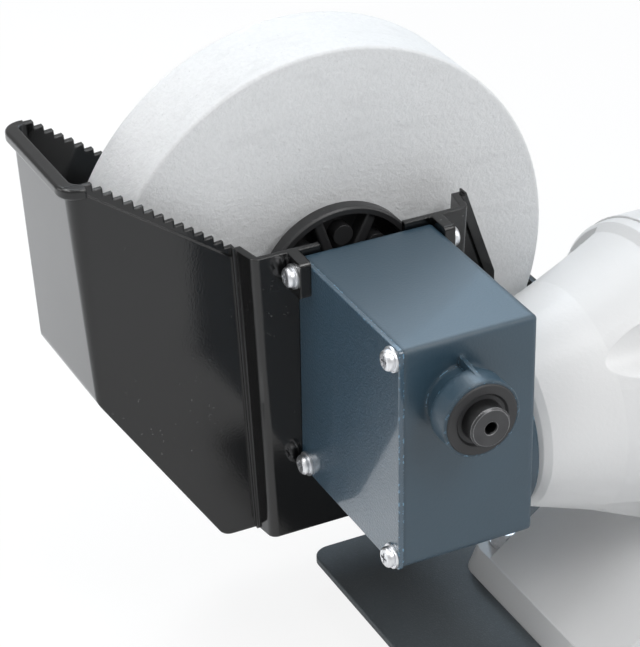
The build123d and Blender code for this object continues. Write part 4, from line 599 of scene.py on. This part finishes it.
class SHARPENER_OT_castings(FinishOperator, bpy.types.Operator):
    """Paint the motor housing, the end bells, the guard and the rest bracket"""
    bl_idname = "sharpener.castings"
    bl_label = "Motor castings"

    def execute(self, context):
        look = self.finishes(context)
        paint = painted_casting("casting paint", look.casting, look.cast_size, look.edge_radius)
        dress(paint, "casting_grey")
        return {"FINISHED"}


class SHARPENER_OT_gearbox(FinishOperator, bpy.types.Operator):
    """Paint the gearbox, its cover and the guard's cover"""
    bl_idname = "sharpener.gearbox"
    bl_label = "Gearbox"

    def execute(self, context):
        look = self.finishes(context)
        edge = look.edge_radius * ENAMEL_BUILD
        fine_peel = look.peel_size * 0.8
        housing = slate_enamel(
            "slate enamel", look.slate, edge, look.corner_radius, look.peel_size,
            peel_depth=0.00008, rough=0.38, coat=0.12, shine=0.58)
        # The cover's lighter, bluer tint is painted light on the gearbox's enamel
        cover = slate_enamel(
            "cover enamel", look.lit_cover_slate, edge, edge, fine_peel,
            peel_depth=0.0003, rough=0.3, coat=0.9, shine=0.5)
        dress(housing, "slate_paint")
        dress_piece(cover, "gearbox_cover")
        return {"FINISHED"}


class SHARPENER_OT_base(FinishOperator, bpy.types.Operator):
    """Coat the base plate and make its feet rubber"""
    bl_idname = "sharpener.base"
    bl_label = "Base plate and feet"

    def execute(self, context):
        look = self.finishes(context)
        dress(powder_coat("plate coat", look.plate, look.edge_radius), "plate_paint")
        dress(soft_rubber("foot rubber", look.rubber), "foot_rubber")
        return {"FINISHED"}


class SHARPENER_OT_trough(FinishOperator, bpy.types.Operator):
    """Finish the water trough and the stone's flanges"""
    bl_idname = "sharpener.trough"
    bl_label = "Water trough"

    def execute(self, context):
        look = self.finishes(context)
        glossy = moulded_plastic(
            "trough plastic", look.trough, look.bend_radius, rough=0.12, scratches=0.4, shine=0.6)
        dress(glossy, "trough_plastic")
        worn = moulded_plastic("flange plastic", look.flange, look.edge_radius, rough=0.42, scratches=0.8)
        dress_piece(worn, "stone_flange_inner")
        dress_piece(worn, "stone_flange_outer")
        return {"FINISHED"}


class SHARPENER_OT_stones(FinishOperator, bpy.types.Operator):
    """Finish the slow stone and the fast wheel"""
    bl_idname = "sharpener.stones"
    bl_label = "Stones"

    def execute(self, context):
        look = self.finishes(context)
        coarse_grit = look.grit_size * 1.6
        dress(bonded_stone("wet stone", look.wet_stone, look.grit_size, smearing=0.25), "white_stone")
        dress(bonded_stone("dry wheel", look.dry_stone, coarse_grit, smearing=0.1), "grey_stone")
        return {"FINISHED"}


class SHARPENER_OT_shafts(FinishOperator, bpy.types.Operator):
    """Finish the shafts, the worm and its wheel, the bushes, the seals and the bearings"""
    bl_idname = "sharpener.shafts"
    bl_label = "Shafts, gears and seals"

    def execute(self, context):
        look = self.finishes(context)
        oxide = turned_steel(
            "oxide shaft", look.oxide, STONE_MIDDLE, "Y", rough=0.38, pitch=0.0004, bright_edges=0.6)
        machined = turned_steel("machined steel", look.steel, MOTOR_MIDDLE, "X", rough=0.3)
        bronze = turned_steel("bush bronze", look.bronze, STONE_MIDDLE, "Y", rough=0.36)
        ground = turned_steel("bearing steel", look.steel, MOTOR_MIDDLE, "X", rough=0.16, pitch=0.0002)
        dress(oxide, "shaft_steel")
        dress(machined, "gear_steel")
        dress(bronze, "bush_bronze")
        dress(ground, "bearing_steel")
        dress(soft_rubber("seal rubber", look.rubber), "seal_rubber")
        return {"FINISHED"}


class SHARPENER_OT_motor(FinishOperator, bpy.types.Operator):
    """Finish the winding, the sheets, the rotor cage and the capacitor"""
    bl_idname = "sharpener.motor"
    bl_label = "Motor inside"

    def execute(self, context):
        look = self.finishes(context)
        dress(stacked_sheet("motor sheets", look.laminations), "lamination_steel")
        dress(wound_wire("winding wire", look.copper), "copper_wire")
        dress(plated_steel("cast aluminium", look.aluminium, rough=0.42), "cage_aluminium")
        dress(plated_steel("drawn aluminium", look.aluminium, rough=0.28), "can_aluminium")
        return {"FINISHED"}


class SHARPENER_OT_fasteners(FinishOperator, bpy.types.Operator):
    """Plate the screws, nuts, washers and flanges"""
    bl_idname = "sharpener.fasteners"
    bl_label = "Fasteners"

    def execute(self, context):
        look = self.finishes(context)
        dress(plated_steel("zinc plating", look.zinc, rough=0.36), "zinc_steel")
        return {"FINISHED"}


class SHARPENER_OT_switch(FinishOperator, bpy.types.Operator):
    """Finish the switch and the cable gland"""
    bl_idname = "sharpener.switch"
    bl_label = "Switch and gland"

    def execute(self, context):
        look = self.finishes(context)
        black = look.black_plastic
        bezel = moulded_plastic("switch plastic", black, edge_radius=0.0004, rough=0.3, scratches=0.2)
        rocker = moulded_plastic(
            "rocker plastic", look.red_plastic, edge_radius=0.0005, rough=0.26, scratches=0.2)
        gland = moulded_plastic("gland plastic", black, edge_radius=0.0004, rough=0.5, scratches=0.1)
        dress(bezel, "switch_black")
        dress(rocker, "rocker_red")
        dress(gland, "gland_black")
        return {"FINISHED"}


class SHARPENER_OT_rest(FinishOperator, bpy.types.Operator):
    """Finish the tool rest, the knobs and the eye shield"""
    bl_idname = "sharpener.rest"
    bl_label = "Tool rest and eye shield"

    def execute(self, context):
        look = self.finishes(context)
        knob = moulded_plastic(
            "knob plastic", look.black_plastic, edge_radius=0.0006, rough=0.42, scratches=0.25)
        dress(plated_steel("rest steel", look.zinc, rough=0.34), "rest_steel")
        dress(knob, "knob_plastic")
        dress(clear_sheet("clear shield", look.clear), "clear_shield")
        return {"FINISHED"}


def joint_named(name):
    """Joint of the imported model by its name."""
    return next(joint for joint in frame["joints"] if joint["name"] == name)


def add_piece(shape, name, material, body):
    """Turns a closed bmesh into an object that rides on a body."""
    bmesh.ops.recalc_face_normals(shape, faces=shape.faces[:])
    mesh = bpy.data.meshes.new(name)
    shape.to_mesh(mesh)
    shape.free()
    mesh.materials.append(material)
    piece = bpy.data.objects.new(name, mesh)
    bpy.context.scene.collection.objects.link(piece)
    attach(piece, body)


class SHARPENER_OT_rocker_marks(FinishOperator, bpy.types.Operator):
    """Add the raised bar and ring that mark on and off"""
    bl_idname = "sharpener.rocker_marks"
    bl_label = "Switch marks"
    line_sides = 12
    ring_steps = 40

    def execute(self, context):
        look = self.finishes(context)
        size = context.scene.sharpener_details
        joint = joint_named("rocker_tilt")
        rest = math.radians(-joint["range_deg"][0] / 2)
        rocker = Matrix.Translation(joint["pos_m"]) @ Matrix.Rotation(rest, 4, "X")
        shape = bmesh.new()
        self.add_bar(shape, rocker @ self.face(1.0), size)
        self.add_ring(shape, rocker @ self.face(-1.0), size)
        paint = moulded_plastic("mark paint", look.marks, size.mark_width / 3, rough=0.4, scratches=0.1)
        add_piece(shape, "rocker_marks", paint, "rocker")
        return {"FINISHED"}

    def face(self, side):
        """Middle of the rocker's upper or lower face, with Y out of the face."""
        hollow = 2.2 * MILLIMETRE
        rim = 3.6 * MILLIMETRE
        reach = 8.3 * MILLIMETRE
        middle = 4.5 * MILLIMETRE
        slope = math.atan2(rim - hollow, reach)
        out = hollow + (rim - hollow) * middle / reach
        return Matrix.Translation((0.0, out, side * middle)) @ Matrix.Rotation(-side * slope, 4, "X")

    def add_bar(self, shape, place, size):
        """Round bar laid half into the face."""
        width = size.mark_width
        upright = Matrix.Translation((0.0, 0.0, -size.mark_height / 2))
        made = bmesh.ops.create_circle(
            shape, cap_ends=True, segments=self.line_sides, radius=width / 2, matrix=place @ upright)
        faces = list({face for vert in made["verts"] for face in vert.link_faces})
        pulled = bmesh.ops.extrude_face_region(shape, geom=faces)
        ends = [part for part in pulled["geom"] if isinstance(part, bmesh.types.BMVert)]
        bmesh.ops.translate(shape, vec=place.to_3x3() @ Vector((0.0, 0.0, size.mark_height)), verts=ends)
        rims = [edge for edge in shape.edges if any(len(face.verts) > 4 for face in edge.link_faces)]
        bmesh.ops.bevel(
            shape, geom=rims, offset=width / 6, segments=2, profile=0.5, affect="EDGES", material=-1)

    def add_ring(self, shape, place, size):
        """Round bead laid half into the face."""
        radius = (size.mark_height - size.mark_width) / 2
        aside = Matrix.Translation((radius, 0.0, 0.0))
        made = bmesh.ops.create_circle(
            shape, cap_ends=False, segments=self.line_sides, radius=size.mark_width / 2,
            matrix=place @ aside)
        edges = list({edge for vert in made["verts"] for edge in vert.link_edges})
        bmesh.ops.spin(
            shape, geom=made["verts"] + edges, cent=place.translation,
            axis=place.to_3x3() @ Vector((0.0, 1.0, 0.0)), angle=math.tau, steps=self.ring_steps,
            use_merge=True)


class SHARPENER_OT_shaft_thread(FinishOperator, bpy.types.Operator):
    """Add the thread that shows past the stone's nut"""
    bl_idname = "sharpener.shaft_thread"
    bl_label = "Shaft thread"
    steps_in_turn = 48

    def execute(self, context):
        size = context.scene.sharpener_details
        pitch, depth = size.thread_pitch, size.thread_depth
        root = 7.95 * MILLIMETRE
        chamfer = 1.0 * MILLIMETRE
        foot = 0.42 * pitch
        crest = 0.08 * pitch
        gap_at_nut = 0.45 * pitch
        gap_at_end = 0.2 * pitch
        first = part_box("stone_nut")[1][1] + gap_at_nut
        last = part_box("stone_shaft")[1][1] - chamfer - gap_at_end
        axle = Vector((STONE_MIDDLE.x, 0.0, STONE_MIDDLE.z))
        turns = (last - first) / pitch
        steps = round(self.steps_in_turn * turns)
        shape = bmesh.new()
        corners = ((root, -foot), (root + depth, -crest), (root + depth, crest), (root, foot))
        ridge = [shape.verts.new(axle + Vector((out, first + along, 0.0))) for out, along in corners]
        face = shape.faces.new(ridge)
        bmesh.ops.spin(
            shape, geom=[face, *face.edges, *face.verts], cent=axle, axis=(0.0, 1.0, 0.0),
            dvec=(0.0, (last - first) / steps, 0.0), angle=math.tau * turns, steps=steps, use_merge=False)
        add_piece(shape, "shaft_thread", bpy.data.materials["oxide shaft"], "stone")
        return {"FINISHED"}


def area_lamp(name, place, aim, size, power, tint=WHITE, spread=180.0):
    """Soft box of a width and height that looks at a point."""
    lamp = bpy.data.lights.new(name, "AREA")
    lamp.shape = "RECTANGLE"
    lamp.size, lamp.size_y = size
    lamp.energy = power
    lamp.color = tint
    lamp.spread = math.radians(spread)
    holder = bpy.data.objects.new(name, lamp)
    bpy.context.scene.collection.objects.link(holder)
    holder.location = place
    holder.rotation_euler = (Vector(aim) - Vector(place)).to_track_quat("-Z", "Y").to_euler()


def shown_white(tree, plain, white, seen, gleam):
    """Shader that shows white to the camera and, by its gleam, in reflections."""
    rays = put(tree, "ShaderNodeLightPath").outputs
    straight = maths(tree, "MAXIMUM", rays["Is Camera Ray"], rays["Is Transmission Ray"])
    factor = maths(
        tree, "MAXIMUM", times(tree, straight, seen), times(tree, rays["Is Glossy Ray"], gleam))
    mixed = put(tree, "ShaderNodeMixShader", {0: factor, 1: plain.outputs[0], 2: white.outputs[0]})
    return mixed.outputs[0]


class SHARPENER_OT_studio(bpy.types.Operator):
    """Add the camera, the lamps and the pale floor"""
    bl_idname = "sharpener.studio"
    bl_label = "Studio"
    bl_options = {"REGISTER", "UNDO"}

    def execute(self, context):
        studio = context.scene.sharpener_studio
        self.add_camera(context, studio)
        self.add_floor(context, studio)
        self.add_world(context, studio)
        self.add_lamps()
        context.scene.view_settings.view_transform = "Standard"
        return {"FINISHED"}

    def add_lamps(self):
        aim = (-0.05, 0.0, 0.15)
        area_lamp("sky panel", (0.614, 1.249, 1.835), aim, (1.3, 1.2), power=14.9, tint=(0.82, 0.88, 0.92))
        area_lamp("back panel", (0.802, 1.514, 1.5), aim, (0.7, 0.7), power=3.8, tint=(0.44, 0.72, 1.0))
        area_lamp("top panel", (-0.3, -0.335, 2.31), aim, (0.6, 0.6), power=4.5)
        area_lamp("front panel", (0.434, -1.33, 1.835), aim, (1.0, 1.0), power=22.0)
        area_lamp("right panel", (1.74, -1.03, 0.9), aim, (1.0, 1.0), power=10.0)
        area_lamp("left panel", (-1.44, -0.245, 1.835), aim, (1.0, 1.0), power=9.5)
        area_lamp("low left panel", (-1.99, 0.707, 0.9), aim, (1.0, 1.0), power=7.0)
        floor_spot = (-0.38, 0.38, 0.0)
        area_lamp("floor lamp", (-0.6, 0.6, 1.4), floor_spot, (0.5, 0.5), power=1.3, spread=45.0)

    def add_camera(self, context, studio):
        lens = bpy.data.cameras.new("camera")
        lens.lens = studio.lens
        lens.sensor_fit = "AUTO"
        lens.sensor_width = 36.0
        lens.clip_end = 20.0
        camera = bpy.data.objects.new("camera", lens)
        context.scene.collection.objects.link(camera)
        turn = Matrix.Rotation(studio.camera_turn, 4, "Z")
        tilt = Matrix.Rotation(math.radians(90.0) - studio.camera_height, 4, "X")
        roll = Matrix.Rotation(studio.camera_roll, 4, "Z")
        camera.matrix_world = Matrix.Translation(studio.camera_place) @ turn @ tilt @ roll
        context.scene.camera = camera

    def add_floor(self, context, studio):
        shape = bmesh.new()
        bmesh.ops.create_circle(shape, cap_ends=True, segments=64, radius=4.0)
        mesh = bpy.data.meshes.new("floor")
        shape.to_mesh(mesh)
        shape.free()
        floor = bpy.data.objects.new("floor", mesh)
        context.scene.collection.objects.link(floor)
        material = bpy.data.materials.new("pale floor")
        material.use_nodes = True
        tree = material.node_tree
        tree.nodes.clear()
        matte = put(tree, "ShaderNodeBsdfDiffuse", {"Color": studio.floor})
        white = put(tree, "ShaderNodeEmission", {"Color": WHITE, "Strength": 1.0})
        surface = shown_white(tree, matte, white, seen=studio.floor_white, gleam=studio.floor_gleam)
        put(tree, "ShaderNodeOutputMaterial", {"Surface": surface})
        mesh.materials.append(material)

    def add_world(self, context, studio):
        world = bpy.data.worlds.new("studio")
        context.scene.world = world
        world.use_nodes = True
        tree = world.node_tree
        tree.nodes.clear()
        fill = put(tree, "ShaderNodeBackground", {"Color": (0.97, 0.985, 1.0), "Strength": studio.sky})
        white = put(tree, "ShaderNodeBackground", {"Color": WHITE, "Strength": 1.0})
        surface = shown_white(tree, fill, white, seen=1.0, gleam=studio.sky_gleam)
        put(tree, "ShaderNodeOutputWorld", {"Surface": surface})


class SHARPENER_PT_panel(bpy.types.Panel):
    """Lists the machine's pieces and settings"""
    bl_idname = "SHARPENER_PT_panel"
    bl_label = "Wet sharpening machine"
    bl_space_type = "VIEW_3D"
    bl_region_type = "UI"
    bl_category = "Sharpener"

    def draw(self, context):
        for kind in OPERATORS:
            self.layout.operator(kind.bl_idname)
        stage = context.scene
        for settings in (stage.sharpener_finishes, stage.sharpener_details, stage.sharpener_studio):
            box = self.layout.box()
            for name in settings.__annotations__:
                box.prop(settings, name)


OPERATORS = (
    SHARPENER_OT_castings, SHARPENER_OT_gearbox, SHARPENER_OT_base, SHARPENER_OT_trough,
    SHARPENER_OT_stones, SHARPENER_OT_shafts, SHARPENER_OT_motor, SHARPENER_OT_fasteners,
    SHARPENER_OT_switch, SHARPENER_OT_rest, SHARPENER_OT_rocker_marks, SHARPENER_OT_shaft_thread,
    SHARPENER_OT_studio,
)
CLASSES = (SharpenerFinishes, SharpenerDetails, SharpenerStudio, *OPERATORS, SHARPENER_PT_panel)


def register():
    for kind in CLASSES:
        bpy.utils.register_class(kind)
    bpy.types.Scene.sharpener_finishes = bpy.props.PointerProperty(type=SharpenerFinishes)
    bpy.types.Scene.sharpener_details = bpy.props.PointerProperty(type=SharpenerDetails)
    bpy.types.Scene.sharpener_studio = bpy.props.PointerProperty(type=SharpenerStudio)


def unregister():
    del bpy.types.Scene.sharpener_studio
    del bpy.types.Scene.sharpener_details
    del bpy.types.Scene.sharpener_finishes
    for kind in reversed(CLASSES):
        bpy.utils.unregister_class(kind)


def main():
    register()
    bpy.ops.sharpener.castings()
    bpy.ops.sharpener.gearbox()
    bpy.ops.sharpener.base()
    bpy.ops.sharpener.trough()
    bpy.ops.sharpener.stones()
    bpy.ops.sharpener.shafts()
    bpy.ops.sharpener.motor()
    bpy.ops.sharpener.fasteners()
    bpy.ops.sharpener.switch()
    bpy.ops.sharpener.rest()
    bpy.ops.sharpener.rocker_marks()
    bpy.ops.sharpener.shaft_thread()
    bpy.ops.sharpener.studio()


if __name__ == "__main__":
    main()
